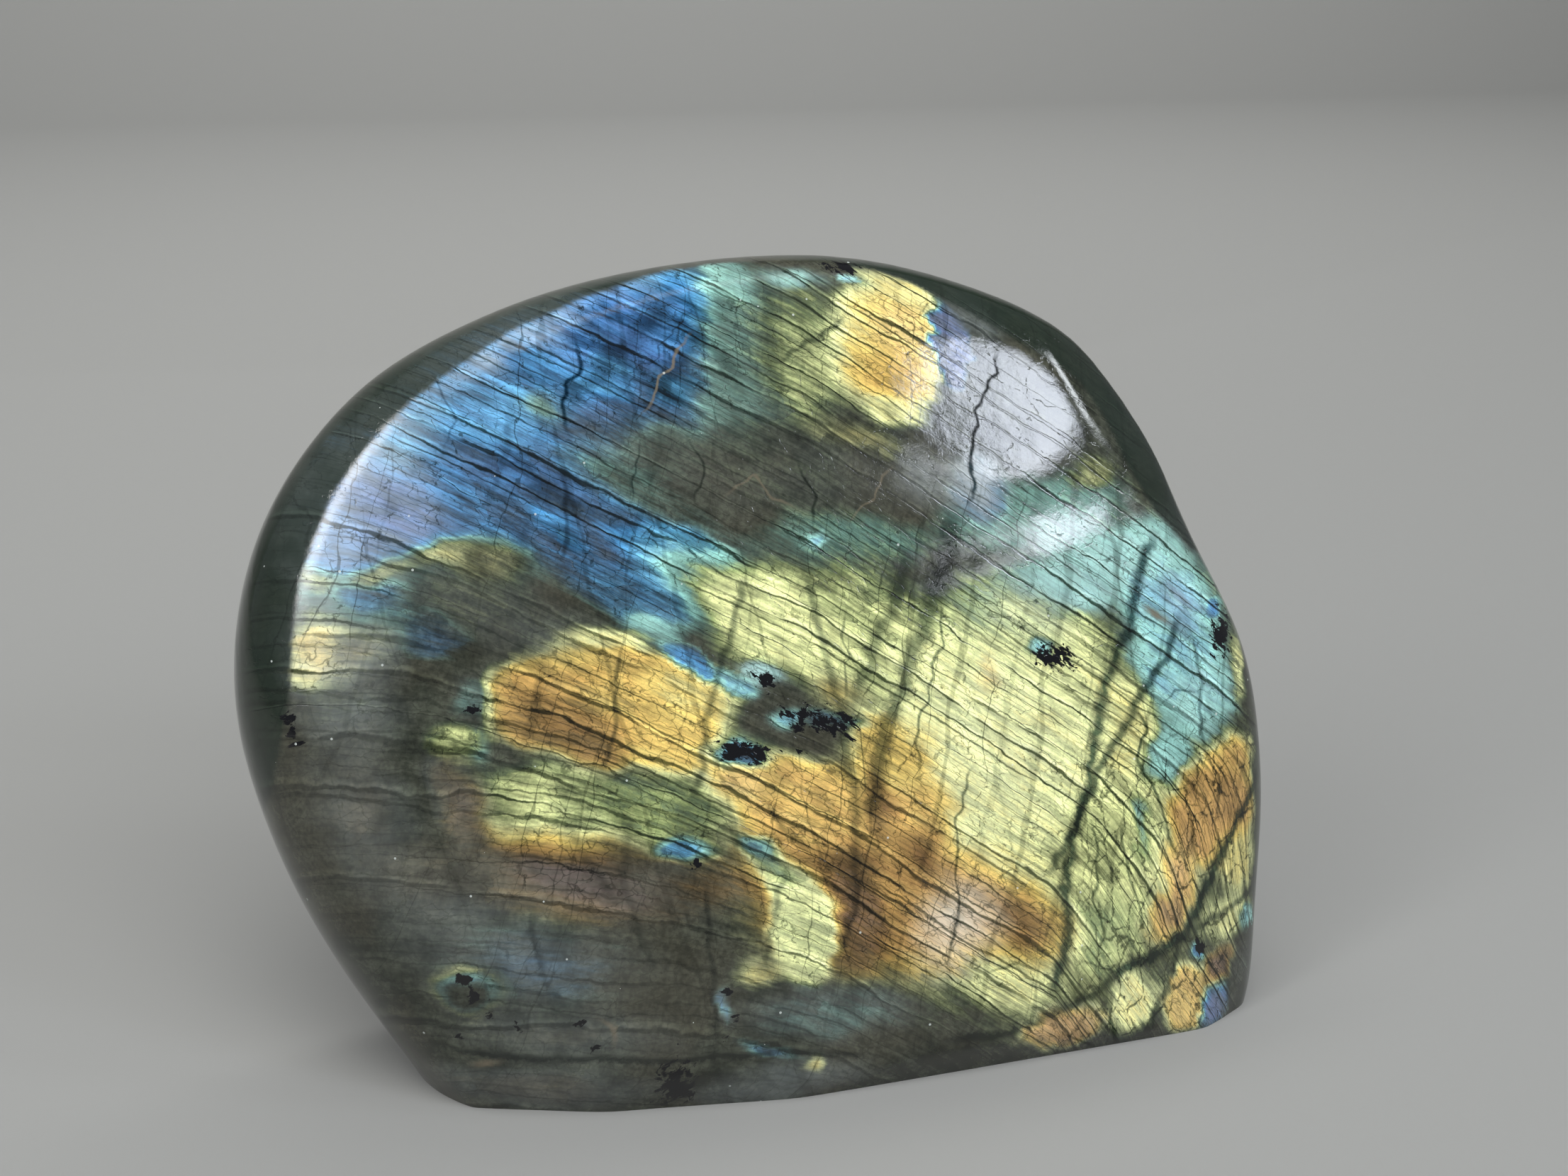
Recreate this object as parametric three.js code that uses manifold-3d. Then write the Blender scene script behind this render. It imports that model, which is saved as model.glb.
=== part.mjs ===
// A polished labradorite freeform that stands on its own cut foot, as one solid.
//
// Millimetres. The flat foot lies on the XY plane, the broad polished face looks towards -Y,
// +X runs along the face to the right and +Z is up. The origin is under the middle of the
// stone's box.
//
// The body starts as an icosahedron sphere. Each of its points is a direction in the stone's own
// leaning frame: across (x), through (y) and along the lean (z). The direction round the rim gives
// the reach to the outline, the direction through gives the depth, and the face and the back then
// get their low forms. Flat cuts make the foot, the bevels ground along its edges and the facets
// ground into the face.

import * as THREE from "three";
import { mergeVertices } from "three/addons/utils/BufferGeometryUtils.js";
import Module from "manifold-3d";

const wasm = await Module();
wasm.setup();

const { clamp, degToRad, lerp, mapLinear, smoothstep } = THREE.MathUtils;

// Stance: the lean, and the place of the middle of the leaning body over the foot. It stands
// back of the foot's middle, because the face leans away.
const LEAN = degToRad(12);
const CENTRE_HEIGHT = 52;
const CENTRE_BACK = 7.8;

// Density of the faces: triangles along an edge of the icosahedron, and how much of the sphere
// goes to the face and the back rather than to the rim
const SPHERE_DETAIL = 19;
const FACE_SHARE = 1.4;

// Outline of the stone round its rim, from the right over the top and back under the foot, as
// [across, up] from the middle of the stone. The points below -52 lie under the foot.
const RIM_POINTS = [
  [73, -2], [65, 16], [58, 32], [47, 46], [31, 54], [12, 58.5],
  [-15, 57.5], [-37, 52], [-55.5, 42], [-69.5, 24], [-74.5, 2], [-70, -21], [-59, -44],
  [-44, -64], [-20, -76], [20, -80], [56, -76], [69.5, -60], [73.5, -38], [75, -20],
];
const RIM_SAMPLES = 720;

// Depth of the stone before and behind its middle plane, at the foot and at the crown
const FRONT_FOOT = 27;
const FRONT_CROWN = 12;
const BACK_FOOT = 24;
const BACK_CROWN = 13;
const CROWN_HEIGHT = 58;

// The polished face is ground a little askew, so that it stands prouder on the left
const FACE_TURN = degToRad(3.5);

// How square the stone's section is, every 45 degrees round the rim from the right end:
// 2 is an ellipse, and 4 is a flat face that turns over a tight shoulder
const FRONT_SQUARENESS = [3.8, 4.2, 3.2, 3.0, 2.8, 2.7, 3.0, 3.8];
const BACK_SQUARENESS = [2.6, 2.3, 2.2, 2.3, 2.4, 2.3, 2.6, 2.8];

// The low forms fade out towards the rim. The higher this is, the closer to it they reach.
const RELIEF_REACH = 8;

// Low forms, as [across, up] and sizes. A negative height is a hollow.
const FACE_LUMPS = {
  belly: { at: [-16, -18], radius: 34, height: 1.2 },
  rightFootFlat: { at: [50, -48], radius: 24, height: -2.4 },
  footDimple: { at: [23, -36], radius: 7, height: -1.9 },
  sideDimple: { at: [37, -46], radius: 6, height: -0.8 },
};
const BACK_LUMPS = {
  backFlat: { at: [-22, 12], radius: 30, height: -2.2 },
  backSwell: { at: [34, -24], radius: 26, height: 1.6 },
  backScoop: { at: [18, 34], radius: 14, height: -1.4 },
};

// The ledge is a step across the right half of the face. It grows out of the plain face over
// the stretch `growth`, measured along it from its start, and falls off slowly below.
const LEDGE = { from: [10, 11], to: [62, 22], rise: 0.75, halfWidth: 4.2, fall: 42 };
LEDGE.growth = { start: -20, end: 12 };

// Bevels ground along the foot, each along the chord from one [x, y] to another on the foot plane
const BEVELS = [
  { from: [-45.5, -18.3], to: [-28, -23.4], tilt: degToRad(24) },
  { from: [-28, -23.4], to: [-4, -25.4], tilt: degToRad(22) },
  { from: [-4, -25.4], to: [67, -18.5], tilt: degToRad(28) },
  { from: [60, 19], to: [-44, 19], tilt: degToRad(35) },
];

// Facets ground into the upper right of the face, each by a point on it and the way it looks:
// `turn` from straight ahead towards the right, and `tip` upwards
const FACETS = {
  crownFacet: { at: [33, 3.5, 88], turn: degToRad(7.4), tip: degToRad(25.8) },
  rightBevel: { at: [50, 5.7, 86], turn: degToRad(39), tip: degToRad(33) },
};

// Size of the blocks that cut the stone, larger than the stone itself
const CUTTER = 300;

// Colour and finish
const STONE_COLOUR = 0x5f6a55;
const STONE_ROUGHNESS = 0.12;

const rimSamples = sampleRim();

// The rim as angle and reach from the middle, in order of angle, with one sample past each end
function sampleRim() {
  const corners = RIM_POINTS.map(([across, up]) => new THREE.Vector3(across, 0, up));
  const rim = new THREE.CatmullRomCurve3(corners, true, "centripetal");
  const samples = rim.getPoints(RIM_SAMPLES).slice(1).map((point) => ({
    angle: Math.atan2(point.z, point.x),
    reach: Math.hypot(point.x, point.z),
  }));
  samples.sort((a, b) => a.angle - b.angle);
  const first = samples[0];
  const last = samples[samples.length - 1];
  samples.unshift({ angle: last.angle - 2 * Math.PI, reach: last.reach });
  samples.push({ angle: first.angle + 2 * Math.PI, reach: first.reach });
  return samples;
}

function rimReach(angle) {
  const after = rimSamples.findIndex((sample) => sample.angle >= angle);
  const low = rimSamples[after - 1];
  const high = rimSamples[after];
  return mapLinear(angle, low.angle, high.angle, low.reach, high.reach);
}

// A value from a ring of values spaced evenly round the rim
function aroundRim(ring, angle) {
  const turn = (angle / (2 * Math.PI) + 1) % 1;
  const step = Math.floor(turn * ring.length);
  const share = smoothstep(turn * ring.length - step, 0, 1);
  return lerp(ring[step % ring.length], ring[(step + 1) % ring.length], share);
}

// Half depth of the stone at a height above its middle
function depthAt(up, foot, crown) {
  const share = clamp((up + CENTRE_HEIGHT) / (CROWN_HEIGHT + CENTRE_HEIGHT), 0, 1);
  return lerp(foot, crown, share);
}

function lumpHeight(lumps, across, up) {
  return Object.values(lumps).reduce((height, lump) => {
    const distance = Math.hypot(across - lump.at[0], up - lump.at[1]) / lump.radius;
    return height + lump.height * Math.exp(-distance * distance);
  }, 0);
}

// The step across the right half: the face below the ledge line stands proud
function ledgeHeight(across, up) {
  const [startAcross, startUp] = LEDGE.from;
  const along = new THREE.Vector2(LEDGE.to[0] - startAcross, LEDGE.to[1] - startUp).normalize();
  const offset = new THREE.Vector2(across - startAcross, up - startUp);
  const below = along.y * offset.x - along.x * offset.y;
  const step = smoothstep(below, -LEDGE.halfWidth, LEDGE.halfWidth);
  const fall = Math.exp(-((Math.max(below, 0) / LEDGE.fall) ** 2));
  const growth = smoothstep(offset.dot(along), LEDGE.growth.start, LEDGE.growth.end);
  return LEDGE.rise * step * fall * growth;
}

// Moves a point of the unit sphere onto the stone, in the stone's leaning frame
function shapePoint(point) {
  point.y *= FACE_SHARE;
  point.normalize();
  const angle = Math.atan2(point.z, point.x);
  const outward = Math.hypot(point.x, point.z);
  const through = Math.abs(point.y);
  const isFace = point.y < 0;
  const squareness = aroundRim(isFace ? FRONT_SQUARENESS : BACK_SQUARENESS, angle);
  const size = (outward ** squareness + through ** squareness) ** (-1 / squareness);
  const reach = rimReach(angle) * outward * size;
  const across = reach * Math.cos(angle);
  const up = reach * Math.sin(angle);
  const reliefShare = 1 - outward ** RELIEF_REACH;
  if (isFace) {
    const lumps = lumpHeight(FACE_LUMPS, across, up) + ledgeHeight(across, up);
    const relief = lumps - across * Math.tan(FACE_TURN);
    const depth = depthAt(up, FRONT_FOOT, FRONT_CROWN) * through * size;
    return point.set(across, -depth - relief * reliefShare, up);
  }
  const relief = lumpHeight(BACK_LUMPS, across, up);
  const depth = depthAt(up, BACK_FOOT, BACK_CROWN) * through * size;
  return point.set(across, depth + relief * reliefShare, up);
}

function withoutSeams(geometry) {
  geometry.deleteAttribute("normal");
  geometry.deleteAttribute("uv");
  return mergeVertices(geometry);
}

// The uncut stone, standing at its lean with the plane of its foot at height 0
function bodyGeometry() {
  const geometry = withoutSeams(new THREE.IcosahedronGeometry(1, SPHERE_DETAIL));
  const positions = geometry.getAttribute("position");
  const point = new THREE.Vector3();
  for (let index = 0; index < positions.count; index += 1) {
    shapePoint(point.fromBufferAttribute(positions, index));
    positions.setXYZ(index, point.x, point.y, point.z);
  }
  geometry.rotateX(-LEAN);
  geometry.translate(0, CENTRE_BACK, CENTRE_HEIGHT);
  return geometry;
}

// A block whose inner face passes through `at` and looks the way that `turn` and `tip` say
function cutterOutside({ at, turn, tip }) {
  const block = new THREE.BoxGeometry(CUTTER, CUTTER, CUTTER);
  block.translate(0, -CUTTER / 2, 0);
  block.rotateX(-tip);
  block.rotateZ(turn);
  block.translate(...at);
  return withoutSeams(block);
}

function footCutter() {
  return cutterOutside({ at: [0, 0, 0], turn: 0, tip: -Math.PI / 2 });
}

// A bevel's face passes through its chord and leans outwards as it rises
function bevelCutter({ from, to, tilt }) {
  const turn = Math.atan2(to[1] - from[1], to[0] - from[0]);
  return cutterOutside({ at: [...from, 0], turn, tip: -tilt });
}

function toSolid(geometry) {
  return new wasm.Manifold(new wasm.Mesh({
    numProp: 3,
    vertProperties: new Float32Array(geometry.getAttribute("position").array),
    triVerts: new Uint32Array(geometry.index.array),
  }));
}

function toGeometry(solid) {
  const mesh = solid.getMesh();
  const geometry = new THREE.BufferGeometry();
  geometry.setAttribute("position", new THREE.BufferAttribute(mesh.vertProperties, 3));
  geometry.setIndex(new THREE.BufferAttribute(mesh.triVerts, 1));
  return geometry;
}

function stoneGeometry() {
  const cutters = [
    footCutter(),
    ...BEVELS.map(bevelCutter),
    ...Object.values(FACETS).map(cutterOutside),
  ];
  const solid = cutters.reduce(
    (stone, cutter) => stone.subtract(toSolid(cutter)),
    toSolid(bodyGeometry()),
  );
  const geometry = toGeometry(solid);
  geometry.computeBoundingBox();
  const { min, max } = geometry.boundingBox;
  geometry.translate(-(min.x + max.x) / 2, -(min.y + max.y) / 2, -min.z);
  return geometry;
}

function stone() {
  const material = new THREE.MeshStandardMaterial({
    color: STONE_COLOUR,
    roughness: STONE_ROUGHNESS,
    metalness: 0,
  });
  const mesh = new THREE.Mesh(stoneGeometry(), material);
  mesh.name = "stone";
  return mesh;
}

const group = new THREE.Group();
group.add(stone());

export default group;
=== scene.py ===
"""A polished labradorite freeform on a pale floor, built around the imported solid.

The stone is a smoothed copy of the solid. Its markings are places on the face and the back in
millimetres, painted into the mesh as attributes, and its finish turns them into flash colours,
cleavage lines, veins and black specks.
"""

import math
from typing import NamedTuple

import bmesh
import bpy
import numpy as np
from bpy.props import FloatProperty, FloatVectorProperty, IntProperty, PointerProperty
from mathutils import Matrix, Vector, noise


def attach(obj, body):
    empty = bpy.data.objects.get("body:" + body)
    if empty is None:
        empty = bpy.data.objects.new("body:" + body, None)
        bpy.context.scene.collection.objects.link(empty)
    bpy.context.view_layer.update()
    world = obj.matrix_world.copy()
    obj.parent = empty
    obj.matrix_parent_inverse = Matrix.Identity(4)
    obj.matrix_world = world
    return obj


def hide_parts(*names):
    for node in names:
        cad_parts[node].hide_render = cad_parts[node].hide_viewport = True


bl_info = {
    "name": "Polished Labradorite",
    "version": (1, 0, 0),
    "blender": (4, 5, 0),
    "location": "3D View > Sidebar > Labradorite",
    "description": "Builds a polished labradorite freeform with its flash, and a small studio",
    "category": "Add Mesh",
}

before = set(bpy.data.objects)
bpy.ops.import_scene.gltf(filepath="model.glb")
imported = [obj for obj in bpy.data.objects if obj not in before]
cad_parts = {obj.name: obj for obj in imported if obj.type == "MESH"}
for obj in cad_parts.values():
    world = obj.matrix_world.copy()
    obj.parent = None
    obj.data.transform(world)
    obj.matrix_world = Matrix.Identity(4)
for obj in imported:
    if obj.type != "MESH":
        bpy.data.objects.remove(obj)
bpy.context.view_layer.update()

MM = 0.001
STONE = "labradorite_stone"
SLOT = "polished_labradorite"

# Points of the solid closer together than this are one point
SAME_PLACE = 0.02 * MM

# Faces of the solid that meet at more than this angle, above the foot's line, meet at a ground edge
GROUND_EDGE = math.radians(17)
FOOT_LINE = 0.2 * MM

# The foot is moved down and drawn in by this much before it is cut level
FOOT_SPARE = 8 * MM
FOOT_TAPER = (0.955, 0.79, 1)
FOOT_MIDDLE = (35 * MM, -7.4 * MM, 0)


class Patch(NamedTuple):
    """One patch of flash, in millimetres as the side is seen straight on."""

    across: float
    up: float
    half_width: float
    half_height: float
    turn: float       # degrees, anticlockwise
    hue: float        # 0 violet, through blue, green, yellow and orange, to 1 purple brown
    strength: float   # 0 plain feldspar, 1 full flash
    # milk also carries the painted highlight spot and the painted reflections of a few patches
    milk: float       # 0 clear, 1 milky
    softness: float   # 0 sharp edge, 1 soft all the way in


# Patches of flash on the face, painted one over another
FACE_PATCHES = {
    "lime ground": Patch(38, 34, 33, 30, 0, 0.63, 0.5, 0, 0.6),
    "brown ground": Patch(9, 31, 24, 15, -16, 0.89, 0.48, 0, 0.5),
    "blue ground": Patch(-36, 89, 40, 17, 27, 0.19, 0.54, 0.05, 0.5),
    "blue fall": Patch(-24, 77, 22, 8, -28, 0.17, 0.36, 0, 0.6),
    "shoulder sky": Patch(-57, 82, 10, 14, -36, 0.15, 0.7, 0.3, 0.5),
    "shoulder lavender": Patch(-52, 80, 8, 5, -20, 0.08, 0.8, 0.26, 0.8),
    "shoulder aqua": Patch(-47, 91, 8, 4, 38, 0.33, 0.9, 0.28, 0.7),
    # Painted reflection: a pale milky band along the upper left rim stands in for the bright room
    # reflected there
    "painted sky reflection": Patch(-33, 102, 22, 4, 22, 0.2, 0.88, 0.42, 0.8),
    "upper azure": Patch(-39, 92, 11, 6, 8, 0.24, 0.74, 0.08, 0.7),
    "blue dusk": Patch(-35, 85, 12, 3.4, -16, 0.14, 0.48, 0, 0.8),
    "crown blue": Patch(-19, 102, 11, 6, 8, 0.13, 0.78, 0, 0.6),
    "crown azure": Patch(-11, 104, 6, 5, 0, 0.18, 0.9, 0, 0.6),
    "blue lens": Patch(-23, 96, 5, 3, 10, 0.23, 0.85, 0.03, 0.5),
    "left blue lens": Patch(-31, 98, 5, 3, 0, 0.2, 0.74, 0.03, 0.6),
    "right blue lens": Patch(-13, 95, 4, 2.5, 10, 0.26, 0.62, 0, 0.6),
    "night gap": Patch(-22, 91, 9, 3, 0, 0.12, 0.36, 0, 0.7),
    "olive gap": Patch(-31, 93, 4, 2, -20, 0.4, 0.24, 0, 1),
    "dim middle": Patch(-14, 86, 13, 5, -10, 0.47, 0.2, 0.03, 0.8),
    "teal streak": Patch(-21, 83, 9, 2.5, -28, 0.42, 0.3, 0, 0.8),
    "deep blue band": Patch(-27, 75, 17, 4.5, -28, 0.17, 0.38, 0, 0.6),
    "bright blue streak": Patch(-31, 78.5, 5, 1.8, -24, 0.24, 0.85, 0.03, 0.7),
    "second blue streak": Patch(-20, 76, 6, 2, -24, 0.2, 0.6, 0, 0.7),
    "blue foot": Patch(-22, 69, 9, 3.5, -28, 0.24, 0.42, 0, 0.7),
    "dark teal": Patch(-12, 78.5, 12, 2, -28, 0.4, 0.2, 0, 0.8),
    "sky bar": Patch(-13, 74.5, 8, 2.6, -24, 0.32, 0.85, 0.03, 0.6),
    "centre aqua": Patch(-14, 70.5, 9, 3.4, -30, 0.39, 0.85, 0.05, 0.6),
    "aqua hem": Patch(-19, 65.5, 5, 2.2, -30, 0.43, 0.78, 0.1, 0.7),
    "crown teal": Patch(-3, 98, 8, 11, 0, 0.48, 0.42, 0.03, 0.7),
    "crown mint": Patch(-4, 107, 4, 2.5, -10, 0.46, 0.62, 0.1, 0.7),
    "crown lime": Patch(6, 98, 8, 10, 10, 0.57, 0.42, 0.02, 0.6),
    "crown edge aqua": Patch(6, 107.5, 5, 1.5, -8, 0.44, 0.6, 0.2, 0.8),
    "lime eye": Patch(8, 96, 5, 4.5, 20, 0.6, 0.52, 0.02, 0.8),
    "crown gold": Patch(18, 98, 9, 9.5, 20, 0.715, 0.74, 0.06, 0.4),
    "gold heart": Patch(21, 100, 6.5, 5, -30, 0.775, 0.95, 0.18, 0.8),
    "gold lower": Patch(18, 94.5, 7, 4, -20, 0.8, 0.66, 0, 0.7),
    "gold toe": Patch(18, 90, 6, 2.2, -20, 0.67, 0.7, 0.05, 0.6),
    "yellow brow": Patch(22, 105, 8, 2, -25, 0.7, 0.8, 0.1, 0.6),
    "violet edge": Patch(27, 97.5, 3, 5.5, 8, 0.04, 0.5, 0.12, 0.15),
    "slate": Patch(32, 101, 6, 3, -30, 0.1, 0.16, 0.1, 0.6),
    "rim green": Patch(36, 102.5, 7, 1.4, -32, 0.6, 0.3, 0, 0.8),
    "dim shoulder": Patch(43, 88, 13, 12, -50, 0.5, 0.08, 0, 0.6),
    "right bevel": Patch(57, 79, 4, 9, 24, 0.58, 0.16, 0.02, 0.7),
    "quiet middle": Patch(5, 83, 21, 6, -3, 0.52, 0.13, 0.02, 0.7),
    "olive glow": Patch(13, 86.5, 8, 2.5, -20, 0.66, 0.26, 0, 0.8),
    "teal column": Patch(10, 74, 15, 4, -6, 0.47, 0.42, 0, 0.6),
    "lime column": Patch(8, 63.5, 13, 9, -10, 0.59, 0.55, 0.01, 0.6),
    "centre lime": Patch(-3, 65, 14, 7, -28, 0.63, 0.75, 0.03, 0.5),
    "teal shelf": Patch(38, 75.5, 16, 5.5, 2, 0.46, 0.5, 0.02, 0.5),
    "olive shelf": Patch(47, 80, 4, 2, 10, 0.62, 0.34, 0, 0.8),
    "aqua flank": Patch(58, 57, 9, 15, 14, 0.38, 0.9, 0.14, 0.4),
    "blue flank": Patch(54, 66, 4, 6, 20, 0.34, 0.85, 0.2, 0.7),
    "pale flank": Patch(60, 61, 3, 5, 20, 0.33, 0.8, 0.35, 0.8),
    "aqua flank light": Patch(63, 47, 6, 6, 0, 0.4, 1, 0.22, 0.7),
    "yellow flank rim": Patch(69, 50, 1.6, 5, 4, 0.64, 0.6, 0.05, 0.7),
    "mint rim": Patch(66, 62, 2.6, 8, 24, 0.49, 0.45, 0.05, 0.8),
    "lime field": Patch(29, 47.5, 21, 20.5, 28, 0.635, 0.98, 0.06, 0.35),
    "aqua ledge": Patch(44, 66.5, 19, 5.6, 10, 0.42, 0.92, 0.3, 0.7),
    "lime heart": Patch(28, 45, 14, 13, 20, 0.645, 1, 0.16, 0.8),
    "lime top": Patch(34, 62, 9, 4, -20, 0.6, 0.9, 0.22, 0.9),
    "rose spot": Patch(28, 55, 2.2, 2.8, 10, 0.72, 0.9, 0.25, 1),
    "olive yellow": Patch(50, 44, 4.6, 8, 12, 0.67, 0.68, 0, 0.6),
    "low olive yellow": Patch(50, 36, 4, 6, 0, 0.65, 0.64, 0, 0.7),
    "lime skirt": Patch(45, 27, 7, 14, 0, 0.61, 0.62, 0, 0.5),
    "mint skirt": Patch(44, 17.5, 6, 6, 0, 0.56, 0.8, 0.06, 0.9),
    "aqua tongue": Patch(56, 41, 5, 4.4, 35, 0.43, 0.84, 0.1, 0.6),
    "aqua drip": Patch(51, 31, 1.6, 5, 5, 0.47, 0.66, 0.05, 0.8),
    "lime flank": Patch(54, 27, 3, 7, 8, 0.62, 0.64, 0.02, 0.6),
    "copper flank": Patch(63, 31, 7.6, 8.5, 24, 0.88, 0.76, 0.04, 0.35),
    "copper brow": Patch(66.5, 38, 4.4, 3, -10, 0.83, 0.84, 0.04, 0.8),
    "copper light": Patch(57.5, 23, 4, 5.5, 10, 0.83, 0.78, 0.14, 0.9),
    "low copper": Patch(55, 18, 5, 3, 30, 0.89, 0.6, 0.08, 0.8),
    "olive flank": Patch(67, 23, 4, 6, 10, 0.69, 0.58, 0.02, 0.6),
    "low olive flank": Patch(65, 15.5, 5, 3, -10, 0.66, 0.6, 0.05, 0.7),
    "copper hem": Patch(37, 5, 7, 3.6, 0, 0.87, 0.62, 0.14, 0.6),
    "lime corner": Patch(48, 6.5, 4.5, 5.5, 0, 0.67, 0.84, 0.1, 0.5),
    "amber corner": Patch(57, 6, 5, 6, 0, 0.79, 0.84, 0.12, 0.4),
    "violet corner": Patch(62.5, 3, 3, 4, 10, 0.04, 0.5, 0.14, 0.6),
    "brown corner": Patch(63.5, 9, 3, 3.5, 0, 0.97, 0.45, 0.05, 0.7),
    "dark corner": Patch(68.5, 7, 3.5, 5, 0, 0.4, 0.1, 0.03, 0.6),
    "lime hem": Patch(29, 12.5, 8, 3.4, -14, 0.65, 0.6, 0.05, 0.6),
    "gold ground": Patch(-25, 56, 17, 8, -10, 0.79, 0.64, 0.02, 0.25),
    "gold crest": Patch(-27, 64, 9, 1.5, -2, 0.67, 0.7, 0.05, 0.8),
    "dark gold brow": Patch(-31, 61, 6, 2.4, -12, 0.83, 0.62, 0, 0.7),
    "orange lobe": Patch(-35, 56, 6.5, 5, 0, 0.86, 0.56, 0.02, 0.8),
    "brown lobe": Patch(-30, 52, 9, 3.6, -14, 0.9, 0.42, 0, 0.9),
    "yellow lobe": Patch(-14, 56, 7, 5, -20, 0.72, 0.95, 0.05, 0.8),
    "gold tail": Patch(-19, 50, 6, 3.5, -20, 0.77, 0.82, 0.03, 0.6),
    "lobe rim": Patch(-41, 57, 1.2, 4, 0, 0.65, 0.7, 0.05, 0.8),
    "lobe mint rim": Patch(-43, 51, 2, 3, -20, 0.46, 0.42, 0.05, 0.8),
    "blue streak": Patch(-14, 60.5, 4.6, 1.5, -36, 0.22, 0.66, 0.05, 0.5),
    "blue streak foot": Patch(-8, 57.3, 4, 1.2, -30, 0.36, 0.75, 0.1, 0.6),
    "smoky triangle": Patch(6, 54.6, 4.6, 3.6, -20, 0.72, 0.42, 0, 1),
    "orange sash": Patch(-2, 42, 15, 6, -28, 0.81, 0.9, 0.05, 0.4),
    "orange eye": Patch(-10, 45, 5, 3.5, -20, 0.81, 0.95, 0.14, 0.8),
    "amber shoulder": Patch(13, 47, 7, 4.5, -20, 0.77, 0.74, 0.02, 0.6),
    "orange field": Patch(15, 37, 7, 7, -20, 0.81, 0.8, 0.05, 0.6),
    "orange foot": Patch(18, 27.5, 10, 7, -28, 0.86, 0.72, 0.05, 0.6),
    "copper foot": Patch(31, 21, 8.5, 5, -30, 0.9, 0.58, 0.02, 0.8),
    "copper shin": Patch(13, 27, 4, 8, 0, 0.88, 0.72, 0.02, 0.6),
    "brown column": Patch(7, 26, 4, 9, 0, 0.93, 0.42, 0, 0.6),
    "sash shade": Patch(11, 40, 2.6, 6, 12, 0.9, 0.46, 0, 1),
    "foot shade": Patch(17, 32, 2.4, 5, 6, 0.91, 0.52, 0, 1),
    # Painted highlight: a soft pale spot near the foot stands in for a light reflected in a shallow
    # hollow there
    "painted highlight spot": Patch(22, 22, 6.6, 5.8, 24, 0.84, 0.8, 0.72, 1),
    "lime toe": Patch(-1, 25, 4.6, 9, 8, 0.62, 0.82, 0.08, 0.35),
    "mint knee": Patch(-5, 33, 5, 3, -40, 0.54, 0.6, 0.05, 0.7),
    "olive toe": Patch(-8, 20, 4.5, 2.6, 0, 0.67, 0.42, 0.03, 0.7),
    "skirt ground": Patch(-33, 34, 24, 8, -8, 0.97, 0.04, 0, 0.6),
    "purple skirt": Patch(-33, 33.5, 18, 4.6, -10, 1, 0.38, 0.08, 1),
    "green left": Patch(-34, 43.5, 10.5, 6.2, -8, 0.6, 0.6, 0.02, 0.5),
    "green middle": Patch(-20, 42, 11, 5.6, -14, 0.55, 0.48, 0, 0.8),
    "gold hem": Patch(-34, 39.2, 9, 1.8, -12, 0.72, 0.56, 0, 1),
    "orange hem": Patch(-34, 37.2, 9, 1.5, -12, 0.86, 0.46, 0, 1),
    "warm veil": Patch(-46, 45, 3, 6.5, 10, 0.95, 0.24, 0.1, 1),
    "green notch": Patch(-46, 52.5, 4, 2, -10, 0.61, 0.58, 0, 0.7),
    "blue hip": Patch(-17, 37, 4, 1.8, -10, 0.27, 0.45, 0, 0.7),
    "brown hip": Patch(-14, 31.5, 5, 2.4, -10, 0.89, 0.28, 0, 0.8),
    "blue knee": Patch(-7, 36, 4, 1.2, -25, 0.36, 0.5, 0.05, 0.8),
    # Painted reflection: the pale tail and haze round the light reflected in the upper right facet
    "painted reflection tail": Patch(29.5, 79.6, 4.2, 4.4, 30, 0.1, 0.3, 0.5, 0.9),
    "painted reflection haze": Patch(22, 81, 5, 3.4, -10, 0.46, 0.1, 0.16, 1),
    "flank yellow": Patch(-63, 64.5, 5, 6.5, 0, 0.7, 0.58, 0.34, 0.8),
    "low flank yellow": Patch(-65, 60.5, 3, 2.5, 0, 0.66, 0.55, 0.3, 0.8),
    "flank cream": Patch(-57, 64, 6, 4.4, 10, 0.68, 0.26, 0.22, 1),
    "flank green": Patch(-63, 72.5, 5, 2.2, -10, 0.6, 0.6, 0.32, 0.8),
    "green brow": Patch(-54, 73.5, 6, 2, 12, 0.61, 0.48, 0.18, 0.8),
    "olive brow": Patch(-46, 76, 5, 1.8, 14, 0.67, 0.52, 0.06, 0.8),
    "olive shade": Patch(-40, 74.5, 7, 3, -10, 0.66, 0.22, 0, 0.8),
    "dark shoulder": Patch(-40, 68.5, 14, 5, -24, 0.6, 0.12, 0.04, 0.8),
    "ink patch": Patch(-47.5, 65.5, 4.5, 3, -10, 0.2, 0.26, 0, 0.8),
    "speck patch": Patch(-44, 57, 3, 2.6, 0, 0.42, 0.28, 0.04, 0.7),
    "left mist": Patch(-58, 42, 6, 14, 16, 0.7, 0.05, 0.1, 1),
    "low mist": Patch(-47, 30, 9, 8, 20, 0.7, 0.05, 0.08, 1),
    "foot mist": Patch(-34, 13, 14, 4, -4, 0.7, 0.06, 0.08, 1),
    "foot band left": Patch(-37, 4.5, 14, 4, 0, 0.7, 0.06, 0.11, 0.7),
    "foot band middle": Patch(-5, 3.5, 12, 3.6, 4, 0.6, 0.08, 0.14, 0.7),
    "flank mist": Patch(-60, 56, 7, 4, 0, 0.54, 0.2, 0.14, 1),
    "blue mist": Patch(-38, 23.5, 14, 7, -6, 0.2, 0.24, 0.08, 1),
    "rainbow frame": Patch(-46, 19.5, 5.8, 4, -6, 0.84, 0.34, 0.06, 0.5),
    "rainbow teal": Patch(-46, 19.3, 5, 3.2, -6, 0.28, 0.38, 0.04, 0.5),
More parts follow.
